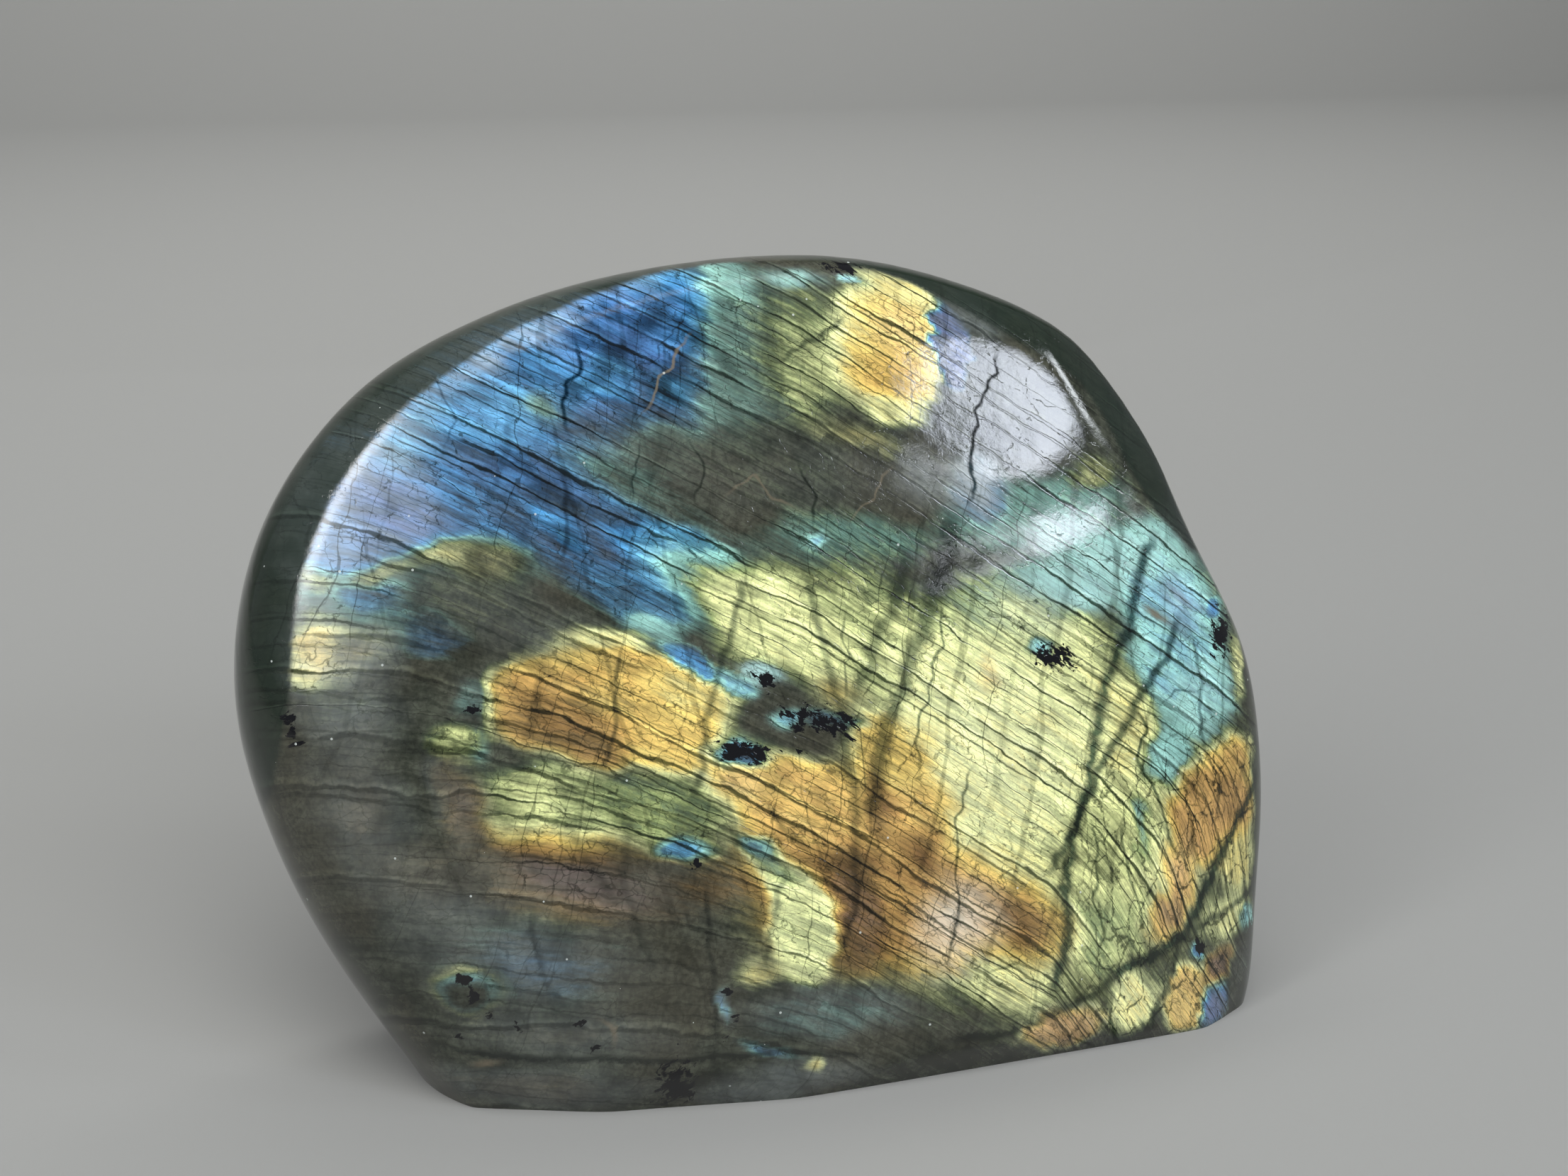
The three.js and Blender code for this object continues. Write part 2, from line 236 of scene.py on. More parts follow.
    "rainbow dark": Patch(-46, 18.8, 4, 2.4, -6, 0.45, 0.06, 0, 0.6),
    "slate foot": Patch(2, 13, 13, 4, -4, 0.4, 0.2, 0.06, 0.5),
    "pale blue line": Patch(-12.5, 15.5, 0.8, 3, 10, 0.3, 0.45, 0.15, 0.8),
    "foot spark blue": Patch(-7, 9, 4.5, 0.9, -20, 0.3, 0.5, 0.08, 0.8),
    "foot spark gold": Patch(-1, 6.4, 1.6, 1.6, 0, 0.7, 0.56, 0.1, 0.8),
    "blue spot edge": Patch(65.5, 58.5, 1.3, 1.2, 0, 0.2, 0.9, 0.1, 0.8),
    "blue spot vein": Patch(59.8, 13, 2, 0.9, -42, 0.21, 0.8, 0.1, 0.8),
    "blue spot corner": Patch(68.5, 14, 2, 1.7, -30, 0.36, 0.66, 0.12, 0.8),
    "left speck halo": Patch(-8, 48.5, 4.8, 2, -8, 0.4, 0.52, 0.04, 1),
    "left speck core": Patch(-8, 48.3, 3.6, 1.2, -8, 0.16, 0.3, 0, 0.7),
    "right speck halo": Patch(-1.6, 52.2, 2.6, 1.5, -10, 0.36, 0.6, 0.06, 0.9),
    "right speck core": Patch(4, 51.2, 5, 1.4, -14, 0.3, 0.3, 0, 0.8),
    "upper speck halo": Patch(-4.6, 58.2, 3, 1.5, -16, 0.43, 0.9, 0.42, 0.7),
    "field speck halo": Patch(36.6, 57.4, 2.2, 1.2, -10, 0.37, 0.76, 0.15, 0.8),
    "aqua spot": Patch(4.4, 74.6, 1.1, 0.8, 0, 0.36, 0.95, 0.2, 0.8),
    "crown aqua spot": Patch(14, 106.4, 1.6, 0.7, -20, 0.36, 0.9, 0.3, 0.8),
}

# Patches of flash on the back, which the photo doesn't show
BACK_PATCHES = {
    "back teal": Patch(34, 74, 24, 15, 20, 0.42, 0.45, 0.05, 0.6),
    "back blue": Patch(40, 66, 12, 8, 25, 0.22, 0.8, 0.05, 0.6),
    "back gold": Patch(-18, 62, 22, 13, -25, 0.72, 0.7, 0.05, 0.4),
    "back orange": Patch(-26, 55, 10, 6, -20, 0.82, 0.7, 0.05, 0.7),
    "back lime": Patch(-4, 46, 14, 8, -30, 0.6, 0.6, 0.05, 0.5),
    "back violet": Patch(-44, 34, 12, 7, -10, 0.06, 0.35, 0.1, 0.7),
    "back aqua": Patch(22, 32, 10, 7, 15, 0.36, 0.55, 0.1, 0.6),
    "back olive": Patch(50, 24, 10, 8, 0, 0.64, 0.35, 0.05, 0.7),
}


class Vein(NamedTuple):
    """One dark vein: a line of places in millimetres, its half width and its darkness."""

    line: tuple
    half_width: float
    darkness: float


# Veins on the face. Those of one set don't cross each other.
STEEP_VEINS = {
    "smoky middle": Vein(
        ((26, 77), (23, 70), (20, 64), (17, 57), (13, 50), (11, 44), (8.5, 37)), 1.3, 0.72,
    ),
    "long right": Vein(
        (
            (56.5, 71), (53, 65), (51, 60), (48.5, 56), (46, 50), (43.5, 44), (42, 38),
            (39.5, 31), (38.5, 24), (38, 17), (35, 9),
        ), 0.8, 0.85,
    ),
    "crown grey": Vein(((2, 108), (1, 100), (1, 91)), 1.0, 0.42),
    "left of centre": Vein(((-5, 72), (-8, 64), (-11, 57), (-13, 50), (-16, 42)), 0.5, 0.6),
    "through the sash": Vein(((6, 47), (6, 42)), 0.5, 0.5),
    "right foot": Vein(
        (
            (73, 35), (69, 31), (66, 27), (63, 23), (60, 18), (57, 15), (50, 12.5),
            (43, 10.5),
        ), 0.8, 0.9,
    ),
    "gold lobe": Vein(((-23, 63), (-24.5, 56), (-26, 50), (-28.5, 47)), 0.32, 0.6),
    "crown fall one": Vein(((-27, 105), (-20, 99), (-11, 92)), 1.1, 0.6),
    "crown fall two": Vein(((-18, 107), (-10, 101), (-3, 95)), 1.0, 0.55),
    "blue crack": Vein(((-29, 86), (-29, 80), (-31, 73)), 0.3, 0.6),
    "slate line": Vein(((-35, 46), (-31, 39), (-26, 30)), 0.55, 0.34),
    "toe": Vein(((-2, 34), (-5, 26), (-7, 20)), 0.45, 0.5),
    "corner drop": Vein(((64, 12), (64.5, 6), (66, 0)), 0.45, 0.5),
}
CROSS_VEINS = {
    "second right": Vein(
        ((60, 60), (56, 54), (52, 49.5), (48, 45), (44, 40), (40, 33), (35, 26)), 0.65, 0.78,
    ),
    "thin middle": Vein(((18, 73), (15, 66), (12, 60), (8, 53)), 0.9, 0.62),
    "left middle": Vein(
        ((3, 72), (4.5, 64), (6, 57), (6.5, 48), (7.5, 38), (7, 29), (3, 19)), 0.6, 0.55,
    ),
    "right branch": Vein(((58, 15), (64, 16.3), (72, 18)), 0.5, 0.75),
    "low right": Vein(((46, 11), (40, 9), (33, 7), (26, 6), (18, 6.4)), 0.6, 0.7),
    "corner": Vein(((57, 16), (54, 9), (50, 0)), 0.6, 0.7),
    "foot line": Vein(((-50, 10.5), (-36, 9.8), (-20, 8.8), (-6, 8.6), (8, 6.4)), 0.4, 0.6),
    "olive line": Vein(((-14, 33), (-14, 20), (-13.5, 10)), 0.35, 0.45),
    "crown counter": Vein(((13, 103), (8, 100), (1, 96.5)), 0.3, 0.6),
    "crown rise one": Vein(((-29, 93), (-20, 99.5), (-11, 107)), 1.0, 0.55),
    "crown rise two": Vein(((-19, 92), (-13, 97.5), (-6, 104)), 1.0, 0.5),
    "shoulder fall": Vein(((-35, 96), (-37, 88), (-41, 80)), 0.5, 0.3),
    "soft lobe line": Vein(((-34, 62), (-36.5, 51)), 0.5, 0.42),
    "mist line": Vein(((-38, 32), (-36, 19)), 0.45, 0.4),
    "skirt line": Vein(((-24, 42), (-25, 33), (-22, 20)), 0.5, 0.34),
    "hip line": Vein(((-6, 43), (-3, 38), (2, 34)), 0.4, 0.5),
    "flank": Vein(((61.5, 57), (62, 50), (61.5, 43), (64, 36), (63.5, 29)), 0.28, 0.6),
}

# Thin dark cracks
CRACKS = {
    "crown facet": Vein(
        ((34.5, 97), (34, 93.5), (30.5, 89.5), (29.5, 87), (28.5, 83), (29, 80), (27.5, 76)),
        0.24, 0.9,
    ),
    "field": Vein(((22, 66), (21.5, 60), (20, 55), (17.5, 49), (17, 42)), 0.18, 0.7),
    "low field": Vein(((25, 44), (22, 36), (22, 29), (21.5, 21), (19.5, 16)), 0.2, 0.7),
    "spot": Vein(((24.5, 14.6), (30, 15.5), (34, 14)), 0.18, 0.6),
    "jagged": Vein(
        ((50, 49), (52, 45), (50.5, 41), (53, 37), (54.5, 33), (55, 29), (57, 25)), 0.22, 0.8,
    ),
    "skirt one": Vein(((42.5, 34), (43.5, 28), (42.5, 22), (44.5, 15)), 0.2, 0.7),
    "skirt two": Vein(((47, 33), (48.5, 26), (49.5, 20), (50.5, 14.5)), 0.2, 0.7),
    "copper": Vein(((58.5, 33), (59.5, 27), (61.5, 22)), 0.2, 0.6),
    "hem one": Vein(((44.5, 9), (44, 5), (46.5, 0)), 0.25, 0.8),
    "hem two": Vein(((36, 5), (40, 2.5), (43, 0)), 0.2, 0.6),
    "crown": Vein(((-25.5, 102), (-26, 97.5), (-28.4, 94), (-28, 89)), 0.26, 0.85),
    "left crown": Vein(((-46, 98), (-43, 92), (-45, 88)), 0.15, 0.5),
    "aqua end": Vein(((62, 48), (58, 49), (54, 47)), 0.15, 0.6),
    "middle": Vein(((-12, 79), (-10, 84), (-12, 89)), 0.16, 0.6),
    "right of middle": Vein(((4, 75), (5, 80), (3, 85)), 0.18, 0.7),
    "lime centre": Vein(((9, 66), (8, 61), (10, 57)), 0.16, 0.6),
    "olive": Vein(((-21, 80), (-19.5, 85), (-18.5, 89)), 0.14, 0.6),
}

# Tan fractures, where the break shows
FRACTURES = {
    "crown": Vein(((-10.5, 101.5), (-13.5, 98.5), (-16, 94.5), (-18, 91.5)), 0.16, 0.7),
    "middle left": Vein(((-8, 81), (-3, 83.5), (-1, 80), (3, 78)), 0.16, 0.45),
    "middle right": Vein(((9, 76), (12.5, 79), (17, 83.5)), 0.15, 0.5),
    "aqua": Vein(((52.5, 61.6), (55, 60.2), (58.4, 58)), 0.42, 0.8),
    "foot": Vein(((-47, 8), (-44, 8.8), (-42, 9.6)), 0.5, 0.7),
    "low foot": Vein(((-49, 4.5), (-46.6, 5.4)), 0.3, 0.6),
    "cluster": Vein(((-30, 15.5), (-27.6, 14), (-28, 10.5)), 0.35, 0.55),
    "spark": Vein(((29.2, 90.8), (27, 92.5)), 0.3, 0.5),
}

VEIN_SETS = {
    "steep": STEEP_VEINS, "cross": CROSS_VEINS, "crack": CRACKS, "fracture": FRACTURES,
}


class Speck(NamedTuple):
    """A cluster of black specks: its middle, half width, half height and turn."""

    across: float
    up: float
    half_width: float
    half_height: float
    turn: float


SPECKS = {
    "lime field": Speck(38.5, 56, 3.6, 1.9, -18),
    "centre left": Speck(-8, 48.4, 4.6, 1.6, -8),
    "centre right": Speck(3.5, 51.2, 6.2, 1.7, -14),
    "centre halo": Speck(-4, 57.4, 1.8, 1.2, -20),
    "centre dot": Speck(0, 47.5, 0.9, 0.8, 0),
    "right edge": Speck(66.5, 55, 2.4, 3.2, -10),
    "crown": Speck(13, 108.4, 2.6, 0.9, -12),
    "left end": Speck(-67, 53.5, 1.2, 2.4, 10),
    "left notch": Speck(-43.5, 56.5, 1.2, 0.8, 0),
    "hip": Speck(-15, 35, 1.1, 0.9, 0),
    "rainbow upper": Speck(-47, 21, 2.2, 0.9, -8),
    "rainbow lower": Speck(-45.5, 18.5, 1.3, 1.0, 0),
    "foot blotch": Speck(-19.5, 4.5, 2.8, 5.0, 4),
    "left foot": Speck(-44, 16, 0.8, 0.6, 0),
    "left foot low": Speck(-48, 12.5, 0.8, 0.6, 0),
    "foot one": Speck(-40.5, 14.5, 0.9, 0.7, 0),
    "foot two": Speck(-32, 15, 0.9, 0.7, 0),
    "foot three": Speck(-30, 11, 1.2, 0.8, 0),
    "toe one": Speck(-12, 17.5, 0.7, 0.8, 0),
    "toe two": Speck(-11, 13.7, 0.7, 0.6, 0),
    "toe three": Speck(-12.5, 11, 0.7, 0.6, 0),
    "vein end": Speck(59.5, 12.5, 1.6, 1.0, -35),
}

# Hue, strength and milk of the plain stone
PLAIN_FACE = (0.5, 0.04, 0.0)
PLAIN_BACK = (0.5, 0.05, 0.0)

# How far the surface must face the viewer's side for each of these to fade in. 0 is edge on.
FACE_TURN = (-0.1, 0.1)
EDGE_FADE = (0.02, 0.35)
MARKS_FADE = (-0.05, 0.2)

# The line where the polished dome turns over round the top. Outside it the flash is mostly taken
# away and the body painted darker: painted shade where the surface turns away.
TURNOVER_LINE = (
    (-69.5, 48), (-67, 58), (-66, 66), (-64.5, 73), (-59.5, 83), (-53.6, 89.6), (-48.4, 94),
    (-43.2, 97.3), (-34, 102.2), (-24.5, 105.6), (-12, 108.8), (0, 110), (12, 109),
    (21, 106.6), (29, 102.6), (36, 98.6), (42, 95), (47, 91.5), (50.5, 86), (53.5, 79),
    (57, 73), (63, 67), (76, 60),
)
TURNOVER_WIDTH = (-0.5, 0.4)

# Share of the flash that is left outside the turnover line, where the rim is painted in shade
RIM_SHADE_FLASH = 0.15

# Ragged edges of the patches: their seed, waves per millimetre and reach in millimetres
RAGGED_SEED = 11
WARPS = ((0.11, 1.5), (0.33, 0.55))
STREAK_WAVES = 0.55
STREAK_LENGTH_WAVES = 0.03
STREAK_SEED = 7.0
STREAK_REACH = 1.6
STREAK_WAY = (0.87, -0.5)

# How far a vein's dark reaches, in half widths, how it fades past that and at its ends, in
# millimetres, and the share of the patches' raggedness that it gets
VEIN_REACH = 1.9
VEIN_FADE = (2.0, 1.1)
VEIN_END = (-0.5, 3.5)
VEIN_WANDER = 0.5

# A place on no vein at all
FAR_SIDE = 9.0

# The lie of the cleavage, as the slope of its lines: they fall steadily to the right, more so
# right of the middle, lie nearly level in the lower left and turn steep in the lower right corner
GRAIN_SCALE = 0.85
GRAIN_FALL = 0.62
RIGHT_FALL = 0.13
RIGHT_START = 5
LEVEL_SHARE = 0.65
LEVEL_WAY = (-0.75, -0.66)
LEVEL_START = -25
LEVEL_RUN = 30
CORNER_FALL = 0.7
CORNER_ACROSS = 36
CORNER_UP = (42, 8)
GRAIN_THROUGH = 0.3

# Ways through the stone, as across, through and up: along the cleavage lines, over the steep
# lines that cross them, and over the lines that counter those
WAYS = {"along": (0.87, 0.2, -0.5), "steep": (0.92, 0.3, -0.38), "counter": (0.96, -0.3, 0.28)}


class LineLayer(NamedTuple):
    """A layer of cleavage lines, in millimetres."""

    across: str        # the field whose even steps the lines mark
    lengthwise: str
    spacing: str       # the setting that gives the distance between the lines
    spacing_share: float
    width: float
    wander: float
    seed: float
    darkness: float


# In the order in which they are laid over the colour
LINE_LAYERS = {
    "counter": LineLayer("counter", "grain", "steep_spacing", 1.6, 0.4, 6.0, 43.0, 0.4),
    "steep": LineLayer("steep", "grain", "steep_spacing", 1.0, 0.42, 6.0, 31.0, 0.4),
    "fine": LineLayer("grain", "along", "fine_spacing", 1.0, 0.07, 1.8, 23.0, 0.5),
    "hair": LineLayer("steep", "grain", "steep_spacing", 0.5, 0.10, 9.0, 37.0, 0.65),
    "middle": LineLayer("grain", "along", "middle_spacing", 1.0, 0.12, 2.4, 11.0, 0.85),
    "coarse": LineLayer("grain", "along", "coarse_spacing", 1.0, 0.21, 3.4, 3.0, 1.0),
}


class GrainNoise(NamedTuple):
    """A noise drawn out along the grain, in waves per millimetre along it and across it."""

    along: float
    across: float
    detail: float
    roughness: float
    distortion: float = 0.0


# How a cleavage line wanders, crinkles and thins out. The last goes from line to line.
LINE_WANDER = GrainNoise(0.07, 0.16, 3.0, 0.5)
LINE_CRINKLE = GrainNoise(0.45, 0.7, 3.0, 0.6)
LINE_THINNING = GrainNoise(0.06, 7.3, 3.0, 0.6)
CRINKLE_REACH = 0.7

# The noises of the flash and of the specks' edges, each with its seed
GRAIN_NOISES = {
    "streak": (GrainNoise(0.12, 0.9, 4.0, 0.6), 2.0),
    "lamella": (GrainNoise(0.25, 2.4, 3.0, 0.6), 6.0),
    "gap": (GrainNoise(0.10, 0.42, 4.0, 0.62, 0.4), 9.0),
    "ragged": (GrainNoise(0.55, 0.95, 5.0, 0.68, 0.5), 4.0),
}

# Noises that lie no particular way: waves per millimetre, detail and roughness
PLAIN_NOISES = {
    "mottle": (0.22, 4.0, 0.6), "fine_mottle": (1.3, 3.0, 0.6), "grit": (4.5, 2.0, 0.6),
    "brown": (0.07, 3.0, 0.5), "pits": (2.2, 4.0, 0.7), "waves": (0.25, 2.0, 0.5),
}


class Net(NamedTuple):
    """A net of cracks: cells per millimetre over and along it, and how a noise pushes it."""

    over: float
    along: float
    push_waves: float
    push: float


CRACK_NET = Net(0.13, 0.30, 0.35, 0.55)
LEATHER_NET = Net(0.34, 0.15, 0.22, 1.1)
FINE_NET_SHARE = 2.6
NET_DETAIL = 4.0

# Half widths of the nets' lines in cells, from where a line starts to where it is dark
CRACK_WIDTH = (0.024, 0.006)
FINE_CRACK_WIDTH = (0.05, 0.01)
LEATHER_WIDTH = (0.055, 0.012)

# Where the leather crackle of the lower right fades in, in millimetres
LEATHER_ACROSS = (32, 46)
LEATHER_UP = (50, 38)

# How dark each net is laid over the colour
NET_DARKNESS = {"cracks": 0.75, "fine_cracks": 0.6, "leather": 0.85}

# How far each field swings the hue and the strength of the flash
HUE_SWINGS = {"streak": 0.11, "fine_mottle": 0.05, "cell_tone": 0.03}
STRENGTH_SWINGS = {"streak": 0.45, "lamella": 0.40, "fine_mottle": 0.22, "cell_tone": 0.18}

# How each field shades the flash: from and to, and the shade at each
SHADES = {
    "mottle": (0.32, 0.62, 0.70, 1.06),
    "streak": (0.30, 0.66, 0.68, 1.10),
    "lamella": (0.34, 0.62, 0.80, 1.06),
    "bands": (0.3, 1.7, 0.84, 1.08),
    "grit": (0.3, 0.7, 0.88, 1.08),
}


def colour_property(name, description, default):
    return FloatVectorProperty(
        name=name, description=description, default=default, min=0.0, max=1.0,
        size=3, subtype="COLOR",
    )


def length_property(name, description, default, least, most, precision=4):
    return FloatProperty(
        name=name, description=description, default=default, min=least, max=most,
        precision=precision, subtype="DISTANCE", unit="LENGTH",
    )


def share_property(name, description, default):
    return FloatProperty(
        name=name, description=description, default=default, min=0.0, max=1.0,
        subtype="FACTOR",
    )


def angle_property(name, description, degrees):
    return FloatProperty(
        name=name, description=description, default=math.radians(degrees),
        subtype="ANGLE", unit="ROTATION",
    )


class StoneShape(bpy.types.PropertyGroup):
    """Sizes of the stone's surface."""

    fineness: length_property(
        "Fineness", "Size of the surface's small faces", 0.00074, 0.0004, 0.002, 5,
    )
    polish_passes: IntProperty(
        name="Polishing passes", description="How often the faces of the solid are smoothed",
        default=60, min=0, max=200,
    )
    edge_passes: IntProperty(
        name="Edge passes", description="How often the ground edges are softened",
        default=5, min=0, max=50,
    )
    edge_reach: length_property(
        "Edge reach", "Distance from a ground edge that is left crisp", 0.0035, 0.0, 0.02,
    )
    ridge_polish: share_property(
        "Ridge polish", "Share of the polishing that reaches the upper ridge", 0.6,
    )
    ridge_height: length_property(
        "Ridge height", "Height above which a ground edge is a polished ridge",
        0.035, 0.0, 0.11, 3,
    )


class FlashColours(bpy.types.PropertyGroup):
    """Colours of the flash, in the order of its hues."""

    violet: colour_property("Violet", "Flash at its violet end", (0.17, 0.19, 0.44))
    blue: colour_property("Blue", "Deep blue flash", (0.09, 0.20, 0.48))
    azure: colour_property("Azure", "Bright blue flash", (0.07, 0.29, 0.58))
    sky: colour_property("Sky", "Sky blue flash", (0.15, 0.46, 0.70))
    aqua: colour_property("Aqua", "Pale aqua flash", (0.36, 0.76, 0.68))
    teal: colour_property("Teal", "Teal flash", (0.17, 0.35, 0.28))
    green: colour_property("Green", "Leaf green flash", (0.36, 0.45, 0.17))
    lime: colour_property("Lime", "Pale yellow green flash", (0.97, 1.00, 0.45))
    gold: colour_property("Gold", "Gold flash", (0.92, 0.68, 0.18))
    orange: colour_property("Orange", "Orange flash", (0.66, 0.40, 0.11))
    copper: colour_property("Copper", "Copper brown flash", (0.34, 0.185, 0.06))
    purple: colour_property("Purple", "Purple brown flash", (0.17, 0.10, 0.10))
    gap_tint: colour_property("Gaps", "Tint of the dark gaps in the blue", (0.16, 0.30, 0.34))


FLASH_STOPS = {
    "violet": 0.0, "blue": 0.10, "azure": 0.22, "sky": 0.32, "aqua": 0.40, "teal": 0.48,
    "green": 0.56, "lime": 0.64, "gold": 0.74, "orange": 0.84, "copper": 0.92, "purple": 1.0,
}


class StoneFinish(bpy.types.PropertyGroup):
    """Colours and sizes of the feldspar and its polish."""

    # Painted shade: the darker feldspar laid on past the turnover line
    rim_shade_body: colour_property("Rim", "Feldspar past the turnover line", (0.009, 0.017, 0.011))
    dark_body: colour_property("Dark body", "Dark feldspar", (0.018, 0.021, 0.014))
    light_body: colour_property("Light body", "Lighter feldspar", (0.060, 0.066, 0.048))
    brown_body: colour_property("Brown body", "Brown feldspar", (0.058, 0.053, 0.036))
    # The milk tints also colour the painted highlight spot and the painted reflections
    milk: colour_property("Milk", "Milky veil", (0.56, 0.64, 0.66))
    warm_milk: colour_property("Warm milk", "Milky veil over yellow", (0.72, 0.66, 0.56))
    line_colour: colour_property("Lines", "Tint of the cleavage lines", (0.11, 0.135, 0.11))
    # Painted highlight: a pale band along one side of each coarse line, as light catching a step
    line_highlight: colour_property("Line edges", "Light along the coarse lines", (1.0, 1.0, 0.95))
    vein_colour: colour_property("Veins", "Smoky veins", (0.07, 0.11, 0.12))
    fracture_colour: colour_property("Fractures", "Tan fractures", (0.15, 0.125, 0.085))
    speck_colour: colour_property("Specks", "Black specks", (0.003, 0.003, 0.004))
    # Painted highlights: the colour of the small glints
    glint_colour: colour_property("Glints", "Small pale glints", (0.700, 0.750, 0.720))
    coarse_spacing: length_property(
        "Coarse lines", "Distance between the coarse cleavage lines", 0.0031, 0.0005, 0.02,
    )
    middle_spacing: length_property(
        "Middle lines", "Distance between the middle cleavage lines", 0.0016, 0.0003, 0.01,
    )
    fine_spacing: length_property(
        "Fine lines", "Distance between the fine cleavage lines", 0.00075, 0.0002, 0.01, 5,
    )
    steep_spacing: length_property(
        "Steep lines", "Distance between the soft lines across the grain",
        0.0075, 0.001, 0.03,
    )
    roughness: share_property("Roughness", "Roughness under the polish", 0.42)
    polish_roughness: share_property("Polish roughness", "Roughness of the polish", 0.045)


class StudioSettings(bpy.types.PropertyGroup):
    """Floor, room and camera."""

    floor_colour: colour_property("Floor", "Colour of the floor", (0.22, 0.22, 0.21))
    room_colour: colour_property("Room", "Colour of the plain room", (0.80, 0.84, 0.90))
    room_light: FloatProperty(
        name="Room light", description="Brightness of the plain room",
        default=0.22, min=0.0, max=5.0,
    )
    camera_azimuth: angle_property(
        "Camera azimuth", "Turn of the camera about the stone, from its face", -12.5,
    )
    camera_elevation: angle_property("Camera elevation", "Height angle of the camera", 18.0)
    camera_distance: length_property(
        "Camera distance", "Distance from the camera to what it looks at", 0.3173, 0.1, 5.0,
    )
    camera_target: FloatVectorProperty(
        name="Camera target", description="Place that the camera looks at",
        default=(0.00137, 0.0, 0.06611), size=3, subtype="TRANSLATION", unit="LENGTH",
    )
    lens: FloatProperty(
        name="Lens", description="Focal length of the camera in millimetres",
        default=52.0, min=10.0, max=300.0,
    )


def direction(azimuth, elevation):
    """Direction to a place round the stone, with azimuth 0 before its face."""
    level = math.cos(elevation)
    return Vector((
        math.sin(azimuth) * level, -math.cos(azimuth) * level, math.sin(elevation),
    ))


def smooth_step(low, high, values):
    share = np.clip((values - low) / (high - low), 0.0, 1.0)
    return share * share * (3 - 2 * share)


def deselect_all():
    if bpy.context.object and bpy.context.object.mode != "OBJECT":
        bpy.ops.object.mode_set(mode="OBJECT")
    bpy.ops.object.select_all(action="DESELECT")


def make_active(piece):
    deselect_all()
    piece.select_set(True)
    bpy.context.view_layer.objects.active = piece


def apply_modifier(piece, kind, **settings):
    """Adds a modifier with these settings and applies it."""
    modifier = piece.modifiers.new(kind.lower(), kind)
    for name, value in settings.items():
        setattr(modifier, name, value)
    make_active(piece)
    bpy.ops.object.modifier_apply(modifier=modifier.name)


def point_values(mesh, name):
    """The places or the normals of the mesh's points, by the name of their property."""
    values = np.empty(len(mesh.vertices) * 3)
    mesh.vertices.foreach_get(name, values)
    return values.reshape(-1, 3)


def ground_edges(mesh):
    """The ends of the edges where the faces of the solid meet at a ground edge above the foot."""
    work = bmesh.new()
    work.from_mesh(mesh)
    edges = np.array([
        [vertex.co.copy() for vertex in edge.verts] for edge in work.edges
        if len(edge.link_faces) == 2 and edge.calc_face_angle() > GROUND_EDGE
    ])
    work.free()
    return edges[edges[:, :, 2].max(axis=1) > FOOT_LINE]


def distance_to_edges(points, edges):
    """Distance from each point to the nearest of the edges."""
    nearest = np.full(len(points), np.inf)
    for start, end in edges:
        along = end - start
        share = np.clip(((points - start) @ along) / float(along @ along), 0.0, 1.0)
        gap = points - start - share[:, None] * along
        nearest = np.minimum(nearest, np.einsum("ij,ij->i", gap, gap))
    return np.sqrt(nearest)


def shape_stone(shape):
    """A smoothed copy of the solid, whose ground edges stay crisp and whose foot stays flat."""
    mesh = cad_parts["stone"].data.copy()
    mesh.name = STONE
    mesh.materials.clear()
    piece = bpy.data.objects.new(STONE, mesh)
    bpy.context.scene.collection.objects.link(piece)
    make_active(piece)
    bpy.ops.object.mode_set(mode="EDIT")
    bpy.ops.mesh.select_all(action="SELECT")
    bpy.ops.mesh.remove_doubles(threshold=SAME_PLACE)
    bpy.ops.object.mode_set(mode="OBJECT")
    edges = ground_edges(mesh)
    lower_foot(piece)
    apply_modifier(
        piece, "REMESH", mode="VOXEL", voxel_size=shape.fineness, use_smooth_shade=True,
    )
    places = point_values(piece.data, "co")
    weight = smooth_step(0.0, shape.edge_reach, distance_to_edges(places, edges))
    on_ridge = places[:, 2] > shape.ridge_height
    weight = np.maximum(weight, np.where(on_ridge, shape.ridge_polish, 0.0))
    group = piece.vertex_groups.new(name="polished")
    for index, value in enumerate(weight):
        group.add([index], float(value), "REPLACE")
    apply_modifier(
        piece, "SMOOTH", factor=0.5, iterations=shape.polish_passes, vertex_group=group.name,
    )
    apply_modifier(piece, "SMOOTH", factor=0.5, iterations=shape.edge_passes)
    piece.vertex_groups.clear()
    cut_foot(piece)
    return piece


def lower_foot(piece):
    """Moves the foot down and in along its bevels, to be cut off level later."""
    deselect_all()
    bpy.ops.object.mode_set(mode="EDIT")
    bpy.ops.mesh.select_mode(type="VERT")
    bpy.ops.mesh.select_all(action="DESELECT")
    bpy.ops.object.mode_set(mode="OBJECT")
    heights = point_values(piece.data, "co")[:, 2]
    piece.data.vertices.foreach_set("select", heights < SAME_PLACE)
    make_active(piece)
    bpy.ops.object.mode_set(mode="EDIT")
    bpy.ops.transform.translate(value=(0, 0, -FOOT_SPARE))
    bpy.ops.transform.resize(value=FOOT_TAPER, center_override=FOOT_MIDDLE)
    bpy.ops.object.mode_set(mode="OBJECT")


def cut_foot(piece):
    """Cuts the stone off level at the floor, with a crisp edge round its foot."""
    make_active(piece)
    bpy.ops.object.mode_set(mode="EDIT")
    bpy.ops.mesh.select_all(action="SELECT")
    bpy.ops.mesh.bisect(
        plane_co=(0, 0, 0), plane_no=(0, 0, -1), use_fill=True, clear_outer=True,
        threshold=0.0001 * MM,
    )
    bpy.ops.mesh.mark_sharp()
    bpy.ops.mesh.select_all(action="SELECT")
    bpy.ops.mesh.normals_make_consistent(inside=False)
    bpy.ops.object.mode_set(mode="OBJECT")


